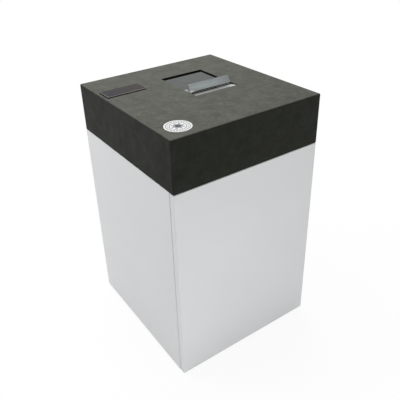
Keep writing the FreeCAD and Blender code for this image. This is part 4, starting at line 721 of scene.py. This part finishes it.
def skin(mesh, rings):
    """Joins rings of as many points each, and closes the first and the last."""
    count = len(rings[0])
    for low, high in zip(rings, rings[1:]):
        for i in range(count):
            j = (i + 1) % count
            mesh.faces.new((low[i], low[j], high[j], high[i]))
    mesh.faces.new(rings[0][::-1])
    mesh.faces.new(rings[-1])


def flat_piece(name, outlines, matrix, height, body, slot, finish):
    """Thin raised print: closed outlines in its own plane, lifted along the plane's normal."""
    mesh = bmesh.new()
    for outline in outlines:
        skin(mesh, [
            [mesh.verts.new(matrix @ Vector((u, v, w))) for u, v in outline] for w in (0, height)])
    finished_piece(name, mesh, body, slot, finish)


def arc_band(radius, width, start, end, steps=40):
    """Outline of a curved stroke between two angles in degrees."""
    angles = [math.radians(start + (end - start) * i / steps) for i in range(steps + 1)]
    outline = []
    for reach, turns in ((radius + width / 2, angles), (radius - width / 2, reversed(angles))):
        outline += [(reach * math.cos(a), reach * math.sin(a)) for a in turns]
    return outline


def bar_mark(width, height):
    u, v = width / 2, height / 2
    return [[(-u, -v), (u, -v), (u, v), (-u, v)]]


def ring_mark(radius, width):
    return [arc_band(radius, width, 0, 180), arc_band(radius, width, 180, 360)]


def turn_mark():
    """Three quarters of a ring with an arrow head at its upper end."""
    head = [(-0.0076, 0.0002), (-0.0020, 0.0002), (-0.0048, -0.0044)]
    return [arc_band(0.0048, 0.0015, -90, 175), head]


def facing_right(node):
    """Plane on a button's cap, seen from the right: u runs to the rear, v up, the normal to +X."""
    low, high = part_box(node)
    middle = (low + high) / 2
    turn = Matrix(((0, 0, 1), (1, 0, 0), (0, 1, 0))).to_4x4()
    return Matrix.Translation((high.x - MARK_SINK, middle.y, middle.z)) @ turn


def rocker_planes():
    """Planes on the rocker's two faces, the lower first: from behind, u runs right and v up."""
    halves = {}
    for face in frame["nodes"]["power_rocker"].data.polygons:
        if face.normal.y > 0.8:
            key = round(face.normal.z, 2)
            area, centre, _ = halves.get(key, (0.0, Vector(), None))
            halves[key] = (area + face.area, centre + face.area * face.center, face.normal.copy())
    largest = sorted(halves.values(), key=lambda half: half[0])[-2:]
    planes = []
    for area, centre, normal in sorted(largest, key=lambda half: half[1].z / half[0]):
        across = Vector((-1, 0, 0))
        turn = Matrix((across, normal.cross(across), normal)).transposed().to_4x4()
        planes.append(Matrix.Translation(centre / area - MARK_SINK * normal) @ turn)
    return planes


def make_marks():
    white = (mark_material("mark_white", (226, 226, 222)), "white_plastic")
    dark = (mark_material("mark_dark", (44, 45, 46)), "black_plastic")
    low, high = rocker_planes()
    for body, outlines, (finish, slot) in (
        ("start", bar_mark(0.0018, 0.0100), white),
        ("stop", ring_mark(0.0048, 0.0016), white),
        ("reverse", turn_mark(), dark),
    ):
        plane = facing_right(body + "_button")
        flat_piece(body + "_mark", outlines, plane, BUTTON_PRINT, body, slot, finish)
    finish, slot = white
    for name, outlines, plane in (
        ("rocker_off_mark", ring_mark(0.0021, 0.0009), low),
        ("rocker_on_mark", bar_mark(0.0010, 0.0048), high),
    ):
        flat_piece(name, outlines, plane, ROCKER_PRINT, "rocker", slot, finish)


# Seals behind the front panel's upright edges

SEAL_WIDTH = 0.0120
SEAL_THICKNESS = 0.0012
SEAL_EDGE = 0.0030
SEAL_END = 0.0040
SEAL_ROUND = 0.0004
# Section of a seal, as shares of its width and thickness
SEAL_SECTION = ((0, 0), (1, 0), (1, 0.65), (0.94, 1), (0.06, 1), (0, 0.65))
# Heights between which the finger notch stays open
NOTCH_SPAN = (0.3760, 0.4840)


def make_seals(finish):
    """Foam strips on the side panels' front flanges, dark to paint shade into the seams; the right
    one leaves the finger notch open.
    """
    mesh = bmesh.new()
    for node, side, gap in (("left_side_panel", -1, ()), ("right_side_panel", 1, NOTCH_SPAN)):
        low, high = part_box(node)
        outer = max(abs(low.x), abs(high.x)) - SEAL_EDGE
        stops = [low.z + SEAL_END, *gap, high.z - SEAL_END]
        for bottom, top in zip(stops[::2], stops[1::2]):
            rings = []
            for z, inset in (
                (bottom, SEAL_ROUND), (bottom + SEAL_ROUND, 0.0),
                (top - SEAL_ROUND, 0.0), (top, SEAL_ROUND),
            ):
                ring = []
                for u, v in SEAL_SECTION:
                    x = side * (outer - inset - u * (SEAL_WIDTH - 2 * inset))
                    ring.append(mesh.verts.new((x, low.y - v * (SEAL_THICKNESS - inset), z)))
                rings.append(ring)
            skin(mesh, rings)
    finished_piece("front_seals", mesh, "cabinet", "rubber", finish)


# Screws that hold the rear panel

SCREW_IN = 0.0105
SCREW_HEIGHTS = (0.050, 0.245, 0.440, 0.630)
SCREW_RADIUS = 0.0046
SCREW_RISE = 0.0025
SCREW_POINTS = 36
RIM_SINK = 0.0002
SOCKET_RADIUS = 0.0018
SOCKET_DEPTH = 0.0016


def screw_rings():
    """Button head with a hexagon socket: radius, height and share of hexagon, rim to floor."""
    rings = [(SCREW_RADIUS, -RIM_SINK, 0.0)]
    for step in range(7):
        turn = math.radians(12 * step)
        radius = SCREW_RADIUS * (0.35 + 0.65 * math.cos(turn))
        rings.append((radius, SCREW_RISE * math.sin(turn) ** 0.8, 0.0))
    rim = rings[-1][1]
    rings.append((SOCKET_RADIUS * 1.12, rim, 1.0))
    rings.append((SOCKET_RADIUS, rim - RIM_SINK, 1.0))
    rings.append((SOCKET_RADIUS, rim - SOCKET_DEPTH, 1.0))
    return rings


def make_screws(finish):
    """Four screws along each side of the rear panel, each turned its own way."""
    low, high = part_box("rear_panel")
    sixth = math.pi / 3
    mesh = bmesh.new()
    for x in (low.x + SCREW_IN, high.x - SCREW_IN):
        for number, z in enumerate(SCREW_HEIGHTS):
            start = 0.7 * number + 9 * x
            rings = []
            for radius, height, hexagon in screw_rings():
                ring = []
                for i in range(SCREW_POINTS):
                    turn = 2 * math.pi * i / SCREW_POINTS
                    flat = math.cos(sixth / 2) / math.cos(turn % sixth - sixth / 2)
                    reach = radius * (1 + hexagon * (flat - 1))
                    u, v = reach * math.cos(turn + start), reach * math.sin(turn + start)
                    ring.append(mesh.verts.new((x + u, high.y + height, z + v)))
                rings.append(ring)
            skin(mesh, rings)
    finished_piece("rear_screws", mesh, "cabinet", "zinc_steel", finish)


make_camera()
make_floor()
make_world()
make_lights()
slot_finishes, node_finishes = make_finishes()
dress(slot_finishes, node_finishes)
make_marks()
make_seals(slot_finishes["rubber"])
make_screws(slot_finishes["zinc_steel"])
